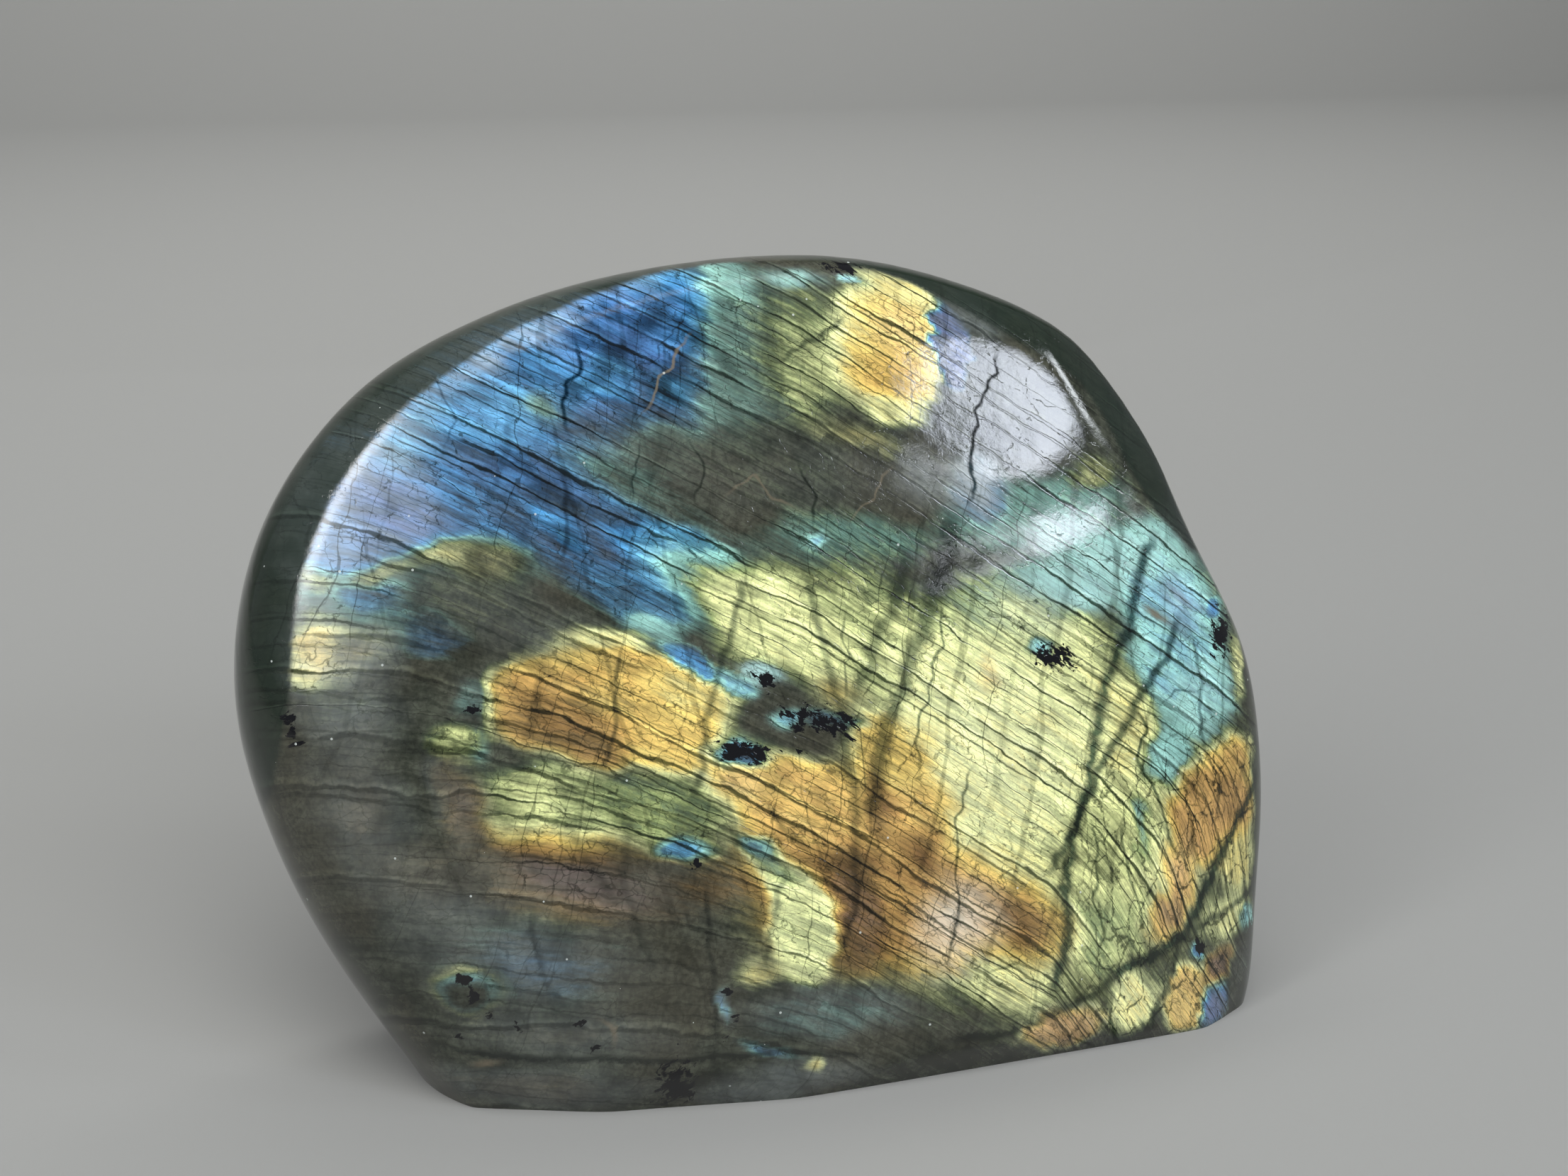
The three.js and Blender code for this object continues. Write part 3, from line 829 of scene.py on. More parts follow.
def grain_height(across, through, up):
    """Distance across the cleavage in millimetres: its contours are the cleavage lines."""
    lower_left = LEVEL_WAY[0] * across + LEVEL_WAY[1] * up - LEVEL_START
    turned = np.clip(lower_left / LEVEL_RUN, 0.0, 1.0)
    level = LEVEL_RUN * (turned ** 3 - turned ** 4 / 2)
    level += np.maximum(lower_left - LEVEL_RUN, 0.0)
    right = np.maximum(across - RIGHT_START, 0.0)
    corner = smooth_step(*CORNER_UP, up) * np.maximum(across - CORNER_ACROSS, 0.0)
    lie = (
        up + GRAIN_FALL * across + LEVEL_SHARE * level + RIGHT_FALL * right
        + CORNER_FALL * corner
    )
    return GRAIN_SCALE * lie + GRAIN_THROUGH * through


def ragged_places(across, up, grain):
    """The places shifted by noise, so that the patches painted on them have ragged edges."""
    noise.seed_set(RAGGED_SEED)
    shift = np.zeros((len(across), 2))
    for index, (x, z) in enumerate(zip(across, up)):
        for waves, reach in WARPS:
            wave = noise.noise_vector(Vector((x * waves, z * waves, waves * 100)))
            shift[index] += wave.x * reach, wave.y * reach
        streak = noise.noise(Vector((
            grain[index] * STREAK_WAVES, x * STREAK_LENGTH_WAVES, STREAK_SEED,
        ))) * STREAK_REACH
        shift[index] += streak * STREAK_WAY[0], streak * STREAK_WAY[1]
    return across + shift[:, 0], up + shift[:, 1]


def along_and_over(across, up, spot):
    """Places on a patch or a speck, in shares of its half width and its half height."""
    turn = math.radians(spot.turn)
    aside = across - spot.across
    above = up - spot.up
    along = (aside * math.cos(turn) + above * math.sin(turn)) / spot.half_width
    over = (above * math.cos(turn) - aside * math.sin(turn)) / spot.half_height
    return along, over


def paint_patches(across, up, patches, plain):
    """Hue, strength and milk at each place, with the patches painted over the plain stone."""
    fields = np.tile(np.array(plain, float), (len(across), 1))
    for patch in patches.values():
        out = np.hypot(*along_and_over(across, up, patch))
        cover = 1 - smooth_step(1 - patch.softness, 1 + patch.softness / 2, out)
        paint = np.array([patch.hue, patch.strength, patch.milk])
        fields += (paint - fields) * cover[:, None]
    return fields


def speck_field(across, up):
    """A height that is 1 in the middle of each cluster of specks and falls to 0 outside it."""
    field = np.zeros(len(across))
    for speck in SPECKS.values():
        out = np.hypot(*along_and_over(across, up, speck))
        field = np.maximum(field, 1 - out / 2)
    return field


def vein_fields(across, up, veins):
    """Signed distance to the nearest vein over its half width, and how dark it is there."""
    nearest = np.full(len(across), np.inf)
    side = np.full(len(across), FAR_SIDE)
    dark = np.zeros(len(across))
    for vein in veins.values():
        reach = VEIN_REACH * vein.half_width
        last = len(vein.line) - 2
        for step, ((x0, z0), (x1, z1)) in enumerate(zip(vein.line, vein.line[1:])):
            run = math.hypot(x1 - x0, z1 - z0)
            ux, uz = (x1 - x0) / run, (z1 - z0) / run
            along = (across - x0) * ux + (up - z0) * uz
            offset = (across - x0) * uz - (up - z0) * ux
            held = np.clip(along, 0.0, run)
            gap = np.hypot(across - x0 - held * ux, up - z0 - held * uz)
            closer = gap < nearest
            end = np.ones(len(across))
            if step == 0:
                end *= smooth_step(*VEIN_END, along)
            if step == last:
                end *= smooth_step(*VEIN_END, run - along)
            near = smooth_step(reach + VEIN_FADE[0], reach + VEIN_FADE[1], gap)
            nearest = np.where(closer, gap, nearest)
            side = np.where(closer, offset / vein.half_width, side)
            dark = np.where(closer, vein.darkness * end * near, dark)
    return side, dark


def store(mesh, name, values):
    attribute = mesh.attributes.new(name, "FLOAT", "POINT")
    attribute.data.foreach_set("value", np.asarray(values, np.float32))


def mark_stone(piece):
    """Paints the markings into the stone's mesh as attributes."""
    mesh = piece.data
    places = point_values(mesh, "co") / MM
    across, through, up = places.T
    facing = -point_values(mesh, "normal")[:, 1]
    grain = grain_height(across, through, up)
    ragged_across, ragged_up = ragged_places(across, up, grain)
    face = paint_patches(ragged_across, ragged_up, FACE_PATCHES, PLAIN_FACE)
    back = paint_patches(ragged_across, ragged_up, BACK_PATCHES, PLAIN_BACK)
    fields = back + (face - back) * smooth_step(*FACE_TURN, facing)[:, None]
    side, _ = vein_fields(across, up, {"turnover": Vein(TURNOVER_LINE, 1.0, 1.0)})
    inside = smooth_step(*TURNOVER_WIDTH, side)
    inside = np.maximum(inside, 1 - smooth_step(*FACE_TURN, facing))
    fade = smooth_step(*EDGE_FADE, np.abs(facing)) * (RIM_SHADE_FLASH + (1 - RIM_SHADE_FLASH) * inside)
    # The rim attribute marks where the rim is painted in shade
    store(mesh, "rim", 1 - inside)
    store(mesh, "flash_hue", fields[:, 0])
    store(mesh, "flash_strength", fields[:, 1] * fade)
    store(mesh, "milk", fields[:, 2] * fade)
    store(mesh, "grain", grain)
    for name, way in WAYS.items():
        store(mesh, name, places @ way)
    shown = smooth_step(*MARKS_FADE, facing)
    vein_across = across + VEIN_WANDER * (ragged_across - across)
    vein_up = up + VEIN_WANDER * (ragged_up - up)
    for name, veins in VEIN_SETS.items():
        side, dark = vein_fields(vein_across, vein_up, veins)
        store(mesh, name + "_vein_side", side)
        store(mesh, name + "_vein_dark", dark * shown)
    store(mesh, "specks", speck_field(across, up) * shown)


# How a value fades in: from and to, and what it gives at each where that isn't 0 and 1
FADES = {
    "line edge": (1.0, 0.4),
    "line shown": (0.0, 0.7),
    "thin line": (0.3, 0.7, 0.5, 1.5),
    "thin line shown": (0.30, 0.50),
    # Where the painted highlight beside a line starts and ends, in line widths
    "line light": (0.7, 1.3),
    "line light end": (3.2, 1.4),
    "broken cracks": (0.46, 0.60),
    "crackled stone": (0.46, 0.58),
    "crackled hues": (0.66, 0.76),
    "broken leather": (0.38, 0.52),
    "lively": (0.2, 0.7, 0.4, 1.0),
    "strength": (0.08, 0.82),
    "gaps": (0.45, 0.60),
    "blue hues": (0.44, 0.34),
    "clouds": (0.3, 0.8),
    "brown": (0.42, 0.62),
    "body shade": (0.35, 0.65, 0.75, 1.2),
    "mottled milk": (0.2, 0.7, 0.6, 1.1),
    "warm hues": (0.60, 0.76),
    "calm": (0.0, 0.4, 0.45, 1.0),
    "vein edge": (VEIN_REACH, 0.2),
    "streaked vein": (0.25, 0.55, 0.8, 1.15),
    "speck edge": (0.60, 0.68),
    "glint size": (0.72, 1.0, 0.0, 0.08),
}

# A line's place in its step and its share of its layer's width: how far they vary, and from what
LINE_PLACES = (0.6, 0.2)
LINE_WIDTHS = (1.2, 0.4)

# How much of each tint is laid on
GAP_SHARE = 0.85
BROWN_SHARE = 0.45
RIM_SHADE_SHARE = 0.85
LINE_HIGHLIGHT_SHARE = 0.5
GLINT_SHARE = 0.5

# How far noise carries the clouds of the feldspar, and the edges of the veins and the specks
CLOUD_REACH = 0.8
VEIN_RAGGEDNESS = 1.8
SPECK_RAGGEDNESS = 2.3

# The vein sets in the order in which they are laid on, each with its tint and its way
VEIN_LAYERS = {
    "steep": ("vein_colour", "MULTIPLY"),
    "cross": ("vein_colour", "MULTIPLY"),
    "fracture": ("fracture_colour", "MIX"),
    "crack": ("vein_colour", "MULTIPLY"),
}

# Places for a glint per millimetre
GLINT_WAVES = 0.42

# Relief of the grain under the polish and of the polish itself, in shares of its height
RELIEF_HEIGHT = 0.1 * MM
GRAIN_RELIEF = 0.35
STREAK_RELIEF = 0.6
PIT_RELIEF = 0.10
WAVE_RELIEF = 0.5
GROOVE_RELIEF = -0.10

# Gloss that a crack takes off the polish
CRACK_DULLNESS = -0.9
STONE_IOR = 1.56


class Graph:
    """Builds a node tree. A value is a socket or a plain number."""

    def __init__(self, tree):
        self.tree = tree

    def node(self, kind, inputs=None, **settings):
        node = self.tree.nodes.new(kind)
        for name, value in settings.items():
            setattr(node, name, value)
        for name, value in (inputs or {}).items():
            self.feed(node.inputs[name], value)
        return node

    def feed(self, socket, value):
        if isinstance(value, bpy.types.NodeSocket):
            self.tree.links.new(value, socket)
        else:
            socket.default_value = value

    def feed_all(self, node, values):
        for socket, value in zip(node.inputs, values):
            self.feed(socket, value)
        return node.outputs[0]

    def math(self, operation, *values, clamp=False):
        node = self.node("ShaderNodeMath", operation=operation, use_clamp=clamp)
        return self.feed_all(node, values)

    def product(self, first, *others):
        for other in others:
            first = self.math("MULTIPLY", first, other)
        return first

    def swing(self, value, source, reach):
        """The value moved up and down by a noise."""
        return self.math("MULTIPLY_ADD", self.math("SUBTRACT", source, 0.5), reach, value)

    def ramp(self, value, low, high, to_low=0.0, to_high=1.0):
        """A smooth step of the value from low to high."""
        node = self.node("ShaderNodeMapRange", interpolation_type="SMOOTHSTEP", inputs={
            "Value": value, "From Min": low, "From Max": high,
            "To Min": to_low, "To Max": to_high,
        })
        return node.outputs["Result"]

    def fade(self, value, name):
        return self.ramp(value, *FADES[name])

    def mix(self, share, first, second, blend="MIX"):
        """The second colour laid on the first. A colour is a socket or a colour setting."""
        node = self.node("ShaderNodeMix", data_type="RGBA", blend_type=blend)
        self.feed(node.inputs["Factor"], share)
        for socket, colour in ((node.inputs[6], first), (node.inputs[7], second)):
            is_socket = isinstance(colour, bpy.types.NodeSocket)
            self.feed(socket, colour if is_socket else rgba(colour))
        return node.outputs[2]

    def vector(self, *values):
        return self.feed_all(self.node("ShaderNodeCombineXYZ"), values)

    def scaled(self, vector, scale):
        return self.node("ShaderNodeVectorMath", operation="SCALE", inputs={
            "Vector": vector, "Scale": scale,
        }).outputs[0]

    def parts(self, vector):
        return self.node("ShaderNodeSeparateXYZ", inputs={"Vector": vector}).outputs

    def channels(self, colour):
        return self.node("ShaderNodeSeparateColor", inputs={"Color": colour}).outputs

    def attribute(self, name):
        return self.node("ShaderNodeAttribute", attribute_name=name).outputs["Fac"]

    def noise(self, vector, scale, detail=2.0, roughness=0.5, distortion=0.0):
        return self.node("ShaderNodeTexNoise", inputs={
            "Vector": vector, "Scale": scale, "Detail": detail, "Roughness": roughness,
            "Distortion": distortion,
        }).outputs

    def grain_noise(self, along, across, kind, seed):
        place = self.vector(
            self.product(along, kind.along), self.product(across, kind.across), seed,
        )
        return self.noise(place, 1.0, kind.detail, kind.roughness, kind.distortion)["Fac"]

    def net(self, place, over, along, kind):
        """Places in the cells of a net of cracks."""
        push = self.noise(place, kind.push_waves, NET_DETAIL)["Color"]
        return self.node("ShaderNodeVectorMath", operation="ADD", inputs={
            0: self.vector(self.product(over, kind.over), self.product(along, kind.along), 0.0),
            1: self.scaled(push, kind.push),
        }).outputs[0]

    def cells(self, place, feature, waves=1.0):
        return self.node("ShaderNodeTexVoronoi", feature=feature, inputs={
            "Vector": place, "Scale": waves,
        }).outputs

    def net_line(self, place, width):
        return self.ramp(self.cells(place, "DISTANCE_TO_EDGE")["Distance"], *width)


def rgba(colour):
    return (*colour, 1.0)


def cleavage_group():
    """Node group: dark lines along the grain, each with its own place, width and darkness, and a
    painted highlight beside each.
    """
    tree = bpy.data.node_groups.new("cleavage lines", "ShaderNodeTree")
    for name in ("Grain", "Along", "Spacing", "Width", "Wander", "Seed"):
        tree.interface.new_socket(name, in_out="INPUT", socket_type="NodeSocketFloat")
    for name in ("Line", "Light", "Band"):
        tree.interface.new_socket(name, in_out="OUTPUT", socket_type="NodeSocketFloat")
    graph = Graph(tree)
    grain, along, spacing, layer_width, wander, seed, _ = graph.node("NodeGroupInput").outputs
    bent = graph.swing(grain, graph.grain_noise(along, grain, LINE_WANDER, seed), wander)
    crinkle = graph.grain_noise(along, grain, LINE_CRINKLE, seed)
    bent = graph.swing(bent, crinkle, CRINKLE_REACH)
    steps = graph.math("DIVIDE", bent, spacing)
    cell = graph.math("FLOOR", steps)
    random = graph.node("ShaderNodeTexWhiteNoise", noise_dimensions="2D", inputs={
        "Vector": graph.vector(cell, seed, 0.0),
    })
    own_place, band, own_width = graph.channels(random.outputs["Color"])
    centre = graph.math("MULTIPLY_ADD", own_place, *LINE_PLACES)
    offset = graph.math("SUBTRACT", graph.math("FRACT", steps), centre)
    offset = graph.product(offset, spacing)
    thin = graph.grain_noise(along, cell, LINE_THINNING, seed)
    width = graph.product(
        layer_width, graph.math("MULTIPLY_ADD", own_width, *LINE_WIDTHS),
        graph.fade(thin, "thin line"),
    )
    shown = graph.product(graph.fade(band, "line shown"), graph.fade(thin, "thin line shown"))
    distance = graph.math("DIVIDE", graph.math("ABSOLUTE", offset), width)
    side = graph.math("DIVIDE", offset, width)
    line = graph.product(graph.fade(distance, "line edge"), shown)
    # Painted highlight: a band of light along one side of the line
    light = graph.product(
        graph.fade(side, "line light"), graph.fade(side, "line light end"), shown,
    )
    for socket, value in zip(graph.node("NodeGroupOutput").inputs, (line, light, band)):
        graph.feed(socket, value)
    return tree


def line_layers(graph, fields, finish):
    """The outputs of each layer of cleavage lines."""
    group = cleavage_group()
    return {
        name: graph.node("ShaderNodeGroup", node_tree=group, inputs={
            "Grain": fields[layer.across], "Along": fields[layer.lengthwise],
            "Spacing": getattr(finish, layer.spacing) * layer.spacing_share / MM,
            "Width": layer.width, "Wander": layer.wander, "Seed": layer.seed,
        }).outputs
        for name, layer in LINE_LAYERS.items()
    }


def stone_fields(graph, finish):
    """The values that the finish is made from, by name."""
    place = graph.scaled(graph.node("ShaderNodeTexCoord").outputs["Object"], 1 / MM)
    fields = {name: graph.attribute(name) for name in ("grain", "flash_hue", *WAYS)}
    grain, along = fields["grain"], fields["along"]
    lines = line_layers(graph, fields, finish)
    for name, (kind, seed) in GRAIN_NOISES.items():
        fields[name] = graph.grain_noise(along, grain, kind, seed)
    for name, kind in PLAIN_NOISES.items():
        fields[name] = graph.noise(place, *kind)["Fac"]
    fields["bands"] = graph.math("ADD", lines["coarse"]["Band"], lines["middle"]["Band"])

    # Cracks: a net of cells drawn out along the grain, and a finer one in its cells
    net = graph.net(place, along, grain, CRACK_NET)
    fields["cell_tone"] = graph.channels(graph.cells(net, "F1")["Color"])[0]
    fields["cracks"] = graph.product(
        graph.net_line(net, CRACK_WIDTH), graph.fade(fields["fine_mottle"], "broken cracks"),
    )
    crackled = graph.math(
        "MAXIMUM", graph.fade(fields["mottle"], "crackled stone"),
        graph.fade(fields["flash_hue"], "crackled hues"),
    )
    fine_net = graph.scaled(net, FINE_NET_SHARE)
    fields["fine_cracks"] = graph.product(
        graph.net_line(fine_net, FINE_CRACK_WIDTH), crackled,
    )

    # Leather crackle in the lower right: a net of tall cells
    across, _, up = graph.parts(place)
    fields["leather"] = graph.product(
        graph.net_line(graph.net(place, across, up, LEATHER_NET), LEATHER_WIDTH),
        graph.ramp(across, *LEATHER_ACROSS), graph.ramp(up, *LEATHER_UP),
        graph.fade(fields["fine_mottle"], "broken leather"),
    )
    return place, fields, lines


def flash_ramp(graph, hue, colours):
    """The colour of the flash at a hue."""
    ramp = graph.node("ShaderNodeValToRGB", inputs={"Fac": hue})
    stops = ramp.color_ramp.elements
    while len(stops) > 1:
        stops.remove(stops[-1])
    for index, (name, position) in enumerate(FLASH_STOPS.items()):
        stop = stops[0] if index == 0 else stops.new(position)
        stop.position = position
        stop.color = rgba(getattr(colours, name))
    return ramp.outputs["Color"]


def flash_colour(graph, fields, colours):
    """The flash, its hue and its strength."""
    hue = fields["flash_hue"]
    for name, reach in HUE_SWINGS.items():
        hue = graph.swing(hue, fields[name], reach)
    shade = graph.product(*(
        graph.ramp(fields[name], *shade) for name, shade in SHADES.items()
    ))
    flash = graph.scaled(flash_ramp(graph, hue, colours), shade)
    strength = graph.attribute("flash_strength")
    lively = graph.fade(strength, "lively")
    for name, reach in STRENGTH_SWINGS.items():
        strength = graph.swing(strength, fields[name], graph.product(lively, reach))
    gaps = graph.product(
        graph.fade(fields["gap"], "gaps"), graph.fade(hue, "blue hues"), GAP_SHARE,
    )
    flash = graph.mix(gaps, flash, colours.gap_tint, "MULTIPLY")
    return flash, hue, graph.fade(strength, "strength")


def feldspar_colour(graph, fields, finish):
    """The plain stone under the flash, with painted shade past the turnover line."""
    cloud = graph.swing(fields["mottle"], fields["streak"], CLOUD_REACH)
    body = graph.mix(graph.fade(cloud, "clouds"), finish.dark_body, finish.light_body)
    brown = graph.product(graph.fade(fields["brown"], "brown"), BROWN_SHARE)
    body = graph.mix(brown, body, finish.brown_body)
    body = graph.scaled(body, graph.fade(fields["fine_mottle"], "body shade"))
    # Painted shade: the body turns darker past the turnover line
    rim = graph.product(graph.attribute("rim"), RIM_SHADE_SHARE)
    return graph.mix(rim, body, finish.rim_shade_body)


def lay_milk_and_painted_sheen(graph, colour, fields, hue, finish):
    # The milky veil, which also lays on the painted highlight spot and the painted reflections
    milk = graph.product(graph.attribute("milk"), graph.fade(fields["mottle"], "mottled milk"))
    tint = graph.mix(graph.fade(hue, "warm hues"), finish.milk, finish.warm_milk)
    return graph.mix(milk, colour, tint)


def lay_lines(graph, colour, fields, lines, strength, finish):
    """The cleavage lines and the nets of cracks, fainter where there is no flash, with a painted
    highlight beside the coarse lines.
    """
    calm = graph.fade(strength, "calm")
    # Painted highlight along one side of each coarse line
    light = graph.product(lines["coarse"]["Light"], LINE_HIGHLIGHT_SHARE)
    colour = graph.mix(light, colour, finish.line_highlight, "SOFT_LIGHT")
    marks = [(lines[name]["Line"], layer.darkness) for name, layer in LINE_LAYERS.items()]
    marks += [(fields[name], darkness) for name, darkness in NET_DARKNESS.items()]
    for mark, darkness in marks:
        dark = graph.product(mark, darkness, calm)
        colour = graph.mix(dark, colour, finish.line_colour, "MULTIPLY")
    return colour


def lay_veins(graph, colour, fields, finish):
    """The veins, the fractures and the cracks, and how much polish the cracks leave."""
    for name, (tint, blend) in VEIN_LAYERS.items():
        side = graph.attribute(name + "_vein_side")
        side = graph.swing(side, fields["fine_mottle"], VEIN_RAGGEDNESS)
        dark = graph.product(
            graph.fade(graph.math("ABSOLUTE", side), "vein edge"),
            graph.attribute(name + "_vein_dark"), graph.fade(fields["streak"], "streaked vein"),
        )
        colour = graph.mix(dark, colour, getattr(finish, tint), blend)
    return colour, graph.math("MULTIPLY_ADD", dark, CRACK_DULLNESS, 1.0, clamp=True)


def lay_specks(graph, colour, place, fields, finish):
    """The black specks, and the small pale glints, which are painted highlights."""
    specks = graph.swing(graph.attribute("specks"), fields["ragged"], SPECK_RAGGEDNESS)
    colour = graph.mix(graph.fade(specks, "speck edge"), colour, finish.speck_colour)
    # Painted highlights: small pale glints scattered over the stone
    glints = graph.cells(place, "F1", GLINT_WAVES)
    size = graph.fade(graph.channels(glints["Color"])[0], "glint size")
    glint = graph.math("LESS_THAN", glints["Distance"], size)
    return graph.mix(graph.product(glint, GLINT_SHARE), colour, finish.glint_colour)


def relief(graph, height, strength):
    return graph.node("ShaderNodeBump", inputs={
        "Strength": strength, "Distance": RELIEF_HEIGHT, "Height": height,
    }).outputs[0]


def grain_relief(graph, fields, coarse):
    streaks = graph.product(fields["streak"], STREAK_RELIEF)
    height = graph.math("SUBTRACT", graph.math("ADD", streaks, coarse), fields["leather"])
    return relief(graph, height, GRAIN_RELIEF)


def polish_relief(graph, fields, coarse):
    waves = graph.product(fields["waves"], WAVE_RELIEF)
    height = graph.math("MULTIPLY_ADD", fields["pits"], PIT_RELIEF, waves)
    groove = graph.math("MAXIMUM", coarse, fields["cracks"])
    return relief(graph, graph.math("MULTIPLY_ADD", groove, GROOVE_RELIEF, height), 1.0)


def finish_stone(piece, colours, finish):
    """The polished finish: feldspar, flash, lines, veins, specks and the polish over them."""
    material = bpy.data.materials.new(SLOT)
    material.use_nodes = True
    material.node_tree.nodes.clear()
    graph = Graph(material.node_tree)
    place, fields, lines = stone_fields(graph, finish)
    flash, hue, strength = flash_colour(graph, fields, colours)
    colour = graph.mix(strength, feldspar_colour(graph, fields, finish), flash)
    colour = lay_milk_and_painted_sheen(graph, colour, fields, hue, finish)
    colour = lay_lines(graph, colour, fields, lines, strength, finish)
    colour, polish = lay_veins(graph, colour, fields, finish)
    colour = lay_specks(graph, colour, place, fields, finish)
    coarse = lines["coarse"]["Line"]
    surface = graph.node("ShaderNodeBsdfPrincipled", inputs={
        "Base Color": colour,
        "Roughness": finish.roughness,
        "IOR": STONE_IOR,
        "Specular IOR Level": 0.0,
        "Coat Weight": polish,
        "Coat Roughness": finish.polish_roughness,
        "Coat IOR": STONE_IOR,
        "Normal": grain_relief(graph, fields, coarse),
        "Coat Normal": polish_relief(graph, fields, coarse),
    })
    output = graph.node("ShaderNodeOutputMaterial")
    graph.feed(output.inputs["Surface"], surface.outputs["BSDF"])
    piece.data.materials.append(material)


class LABRADORITE_OT_stone(bpy.types.Operator):
    """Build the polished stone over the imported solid"""

    bl_idname = "labradorite.stone"
    bl_label = "Polished stone"
    bl_options = {"REGISTER", "UNDO"}

    def execute(self, context):
        scene = context.scene
        piece = shape_stone(scene.labradorite_shape)
        mark_stone(piece)
        finish_stone(piece, scene.labradorite_flash, scene.labradorite_finish)
        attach(piece, "root")
        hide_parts("stone")
        return {"FINISHED"}


def plain_material(name, colour, roughness):
    material = bpy.data.materials.new(name)
    material.use_nodes = True
    surface = material.node_tree.nodes["Principled BSDF"]
    surface.inputs["Base Color"].default_value = rgba(colour)
    surface.inputs["Roughness"].default_value = roughness
    return material


class SoftBox(NamedTuple):
    """A rectangular soft light round the stone, in degrees and metres.

    Its brightness is that of its face, where 1 shows as white. Its face fades out over a share of
    its width or height at the left, right, lower and upper edge, and its upper right corner can be
    cut off.
    """

    azimuth: float
    elevation: float
    distance: float
    width: float
    height: float
    brightness: float
    colour: tuple
    fades: tuple
    mirrored: bool = True
    corner_cut: float = 0.0


SOFT_BOXES = {
    "window_box": SoftBox(
        46.5, 33, 0.9, 0.26, 0.22, 15.0, (0.86, 0.93, 1.05), (0.1, 0.3, 0.25, 0.25), True, 0.85,
    ),
    "ledge_box": SoftBox(
        35, 29.2, 0.9, 0.24, 0.065, 7.5, (0.92, 0.97, 1.02), (0.25, 0.3, 0.45, 0.45),
    ),
    "ridge_box": SoftBox(65, 33, 0.9, 0.14, 0.26, 14.0, (0.9, 0.96, 1.0), (0.2, 0.2, 0.3, 0.3)),
    "left_strip": SoftBox(-60, 38, 1.0, 0.24, 0.95, 9.0, (1, 1, 1), (0.15, 0.7, 0.3, 0.3)),
    "crown_strip": SoftBox(
        29, 81.3, 1.0, 0.92, 0.16, 1.6, (0.95, 0.98, 1.0), (0.15, 0.45, 0.45, 0.45),
    ),
    "left_veil": SoftBox(-43, 38, 1.0, 0.66, 1.0, 3.2, (0.95, 0.98, 1.0), (0.15, 0.8, 0.4, 0.4)),
    "front_top_box": SoftBox(
        -5, 68, 1.0, 1.0, 0.6, 7.5, (1, 1, 1), (0.5, 0.5, 0.5, 0.5), False,
    ),
    "face_box": SoftBox(5, 42, 1.2, 1.1, 0.9, 4.0, (1, 1, 1), (0.2, 0.2, 0.2, 0.2), False),
    "far_box": SoftBox(160, 62, 1.1, 1.7, 0.6, 10.0, (1, 1, 1), (0.3, 0.3, 0.3, 0.3), False),
}

# What the lights look at: the stone, or the floor behind it
STONE_MIDDLE = Vector((0.0, 0.0, 0.055))
FLOOR_LIGHT = "far_box"
FAR_FLOOR = Vector((0.0, 1.2, 0.15))

# Where an uncut corner ends, as the sum of the two shares, and the run over which a cut fades
CORNER_END = 2.2
CORNER_FADE = 0.2

# The camera's film and how near and far it sees, in millimetres and metres
FILM_WIDTH = 36.0
NEAREST = 0.01
FARTHEST = 20.0

# The sweep of the studio floor
FLOOR_SIZE = 3.2
BACK_WALL = 1.2
WALL_HEIGHT = 1.8
SWEEP_RADIUS = 0.7
SWEEP_STEPS = 24
FLOOR_ROUGHNESS = 0.6


def soft_box(name, box):
    place = STONE_MIDDLE + box.distance * direction(
        math.radians(box.azimuth), math.radians(box.elevation),
    )
    aim = FAR_FLOOR if name == FLOOR_LIGHT else STONE_MIDDLE
    bpy.ops.object.light_add(type="AREA", location=place)
    light = bpy.context.object
    light.name = name
    light.rotation_euler = (place - aim).to_track_quat("Z", "Y").to_euler()
    light.visible_camera = False
    light.visible_glossy = box.mirrored
    light.data.shape = "RECTANGLE"
    light.data.size = box.width
    light.data.size_y = box.height
    light.data.energy = box.brightness * math.pi * box.width * box.height
    light.data.color = box.colour
    light.data.use_nodes = True
    graph = Graph(light.data.node_tree)
    across, up, _ = graph.parts(graph.node("ShaderNodeNewGeometry").outputs["Parametric"])
    left, right, low, high = box.fades
    far_end = CORNER_END - box.corner_cut
    glow = graph.product(
        graph.ramp(across, 0.0, left), graph.ramp(across, 1.0, 1 - right),
        graph.ramp(up, 0.0, low), graph.ramp(up, 1.0, 1 - high),
        graph.ramp(graph.math("ADD", across, up), far_end, far_end - CORNER_FADE),
    )
    graph.feed(light.data.node_tree.nodes["Emission"].inputs["Strength"], glow)


def add_camera(studio):
    way = direction(studio.camera_azimuth, studio.camera_elevation)
    target = Vector(studio.camera_target)
    bpy.ops.object.camera_add(location=target + way * studio.camera_distance)
    camera = bpy.context.object
    camera.name = "camera"
    camera.rotation_euler = way.to_track_quat("Z", "Y").to_euler()
    camera.data.lens = studio.lens
    camera.data.sensor_width = FILM_WIDTH
    camera.data.clip_start = NEAREST
    camera.data.clip_end = FARTHEST
    bpy.context.scene.camera = camera


def select_back_edge(floor):
    """Selects the edge of the floor at the foot of the back wall, and nothing else."""
    bpy.ops.mesh.select_all(action="DESELECT")
    mesh = bmesh.from_edit_mesh(floor.data)
    for edge in mesh.edges:
        edge.select_set(all(
            vertex.co.y > BACK_WALL - MM and vertex.co.z < MM for vertex in edge.verts
        ))
    bmesh.update_edit_mesh(floor.data)


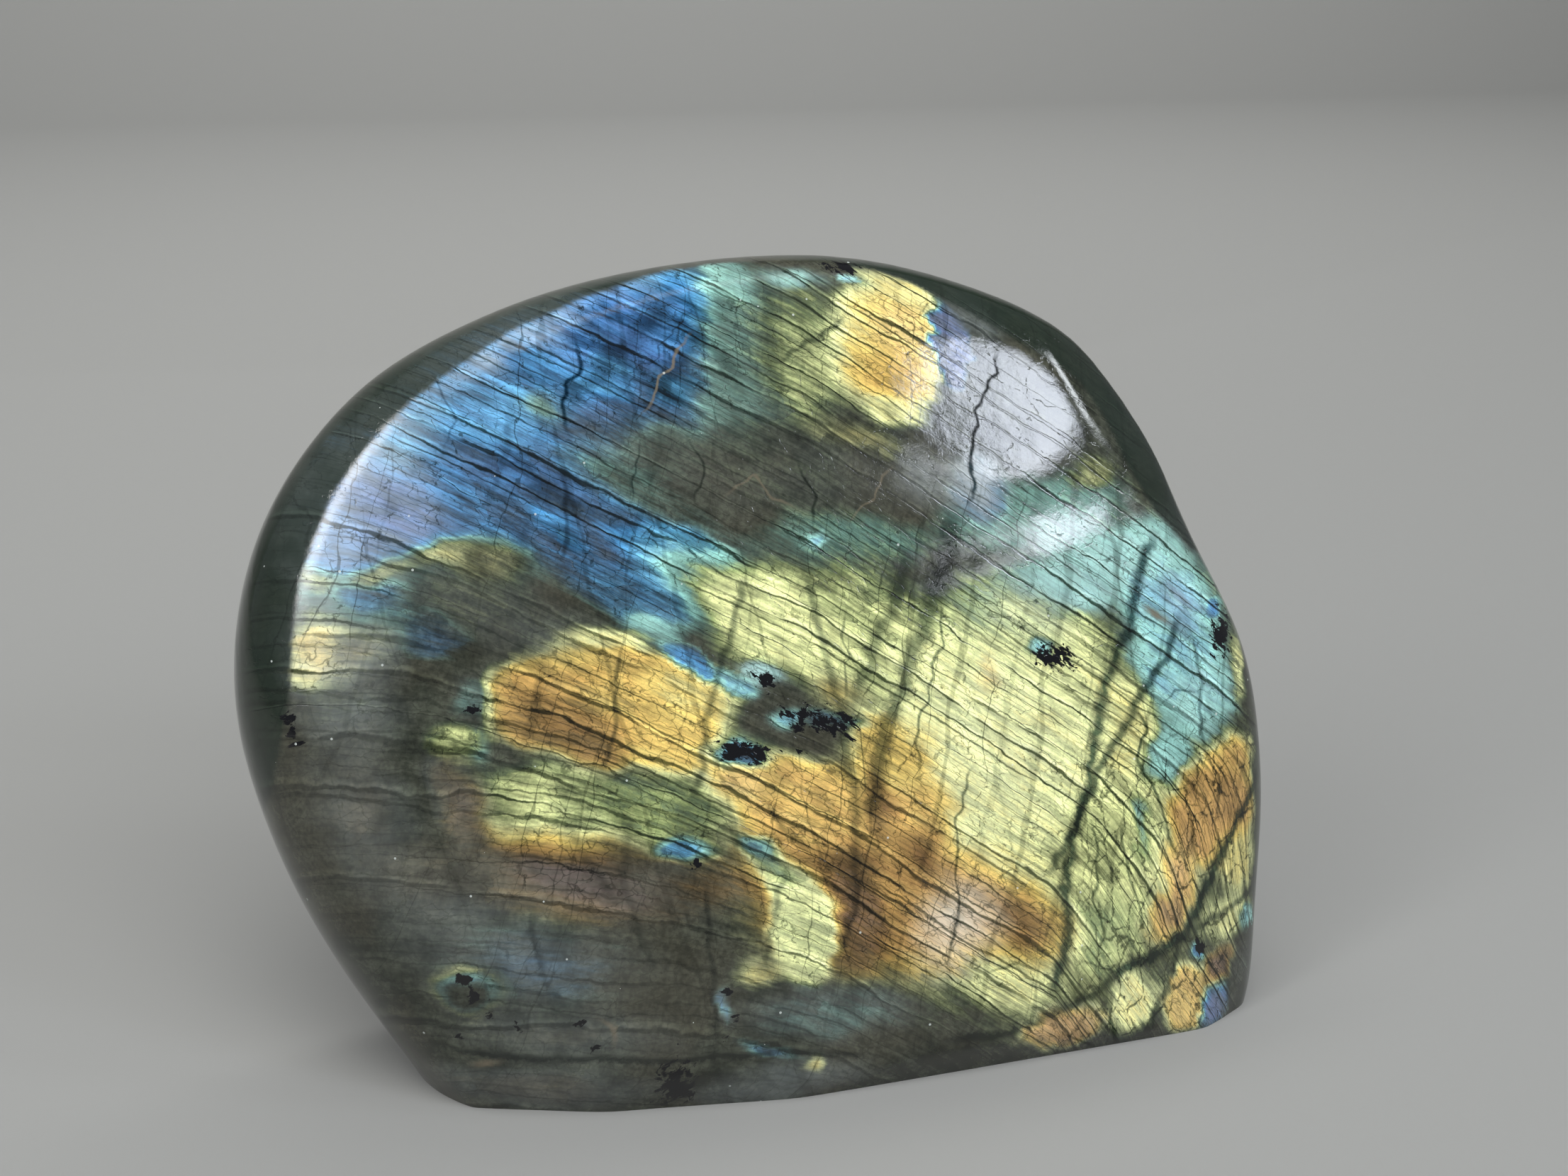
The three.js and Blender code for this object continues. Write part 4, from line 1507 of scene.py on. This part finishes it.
def add_floor(studio):
    """A pale floor that sweeps up into a wall behind the stone."""
    deselect_all()
    bpy.ops.mesh.primitive_plane_add(size=FLOOR_SIZE, location=(0, BACK_WALL - FLOOR_SIZE / 2, 0))
    floor = bpy.context.object
    floor.name = "floor"
    bpy.ops.object.transform_apply(location=True, rotation=False, scale=False)
    bpy.ops.object.mode_set(mode="EDIT")
    select_back_edge(floor)
    bpy.ops.mesh.extrude_region_move(TRANSFORM_OT_translate={"value": (0, 0, WALL_HEIGHT)})
    select_back_edge(floor)
    bpy.ops.mesh.bevel(offset=SWEEP_RADIUS, segments=SWEEP_STEPS)
    bpy.ops.object.mode_set(mode="OBJECT")
    bpy.ops.object.shade_smooth()
    material = plain_material("pale_floor", studio.floor_colour, FLOOR_ROUGHNESS)
    floor.data.materials.append(material)


def light_room(studio):
    world = bpy.data.worlds.new("plain_room")
    world.use_nodes = True
    sky = world.node_tree.nodes["Background"]
    sky.inputs["Color"].default_value = rgba(studio.room_colour)
    sky.inputs["Strength"].default_value = studio.room_light
    bpy.context.scene.world = world


class LABRADORITE_OT_studio(bpy.types.Operator):
    """Set up the floor, the camera and the soft lights"""

    bl_idname = "labradorite.studio"
    bl_label = "Studio"
    bl_options = {"REGISTER", "UNDO"}

    def execute(self, context):
        studio = context.scene.labradorite_studio
        add_floor(studio)
        add_camera(studio)
        light_room(studio)
        for name, box in SOFT_BOXES.items():
            soft_box(name, box)
        bpy.context.scene.view_settings.view_transform = "Standard"
        return {"FINISHED"}


SETTINGS = {
    "labradorite_shape": StoneShape,
    "labradorite_flash": FlashColours,
    "labradorite_finish": StoneFinish,
    "labradorite_studio": StudioSettings,
}
OPERATORS = (LABRADORITE_OT_studio, LABRADORITE_OT_stone)


class LABRADORITE_PT_panel(bpy.types.Panel):
    """The stone's settings in the 3D view's sidebar"""

    bl_idname = "LABRADORITE_PT_panel"
    bl_label = "Labradorite"
    bl_space_type = "VIEW_3D"
    bl_region_type = "UI"
    bl_category = "Labradorite"

    def draw(self, context):
        for setting in SETTINGS:
            box = self.layout.box()
            group = getattr(context.scene, setting)
            for name in group.bl_rna.properties.keys():
                if name not in ("rna_type", "name"):
                    box.prop(group, name)
        for operator in OPERATORS:
            self.layout.operator(operator.bl_idname)


CLASSES = (*SETTINGS.values(), *OPERATORS, LABRADORITE_PT_panel)


def register():
    for item in CLASSES:
        bpy.utils.register_class(item)
    for name, group in SETTINGS.items():
        setattr(bpy.types.Scene, name, PointerProperty(type=group))


def unregister():
    for name in SETTINGS:
        delattr(bpy.types.Scene, name)
    for item in reversed(CLASSES):
        bpy.utils.unregister_class(item)


def main():
    register()
    bpy.ops.labradorite.studio()
    bpy.ops.labradorite.stone()


if __name__ == "__main__":
    main()
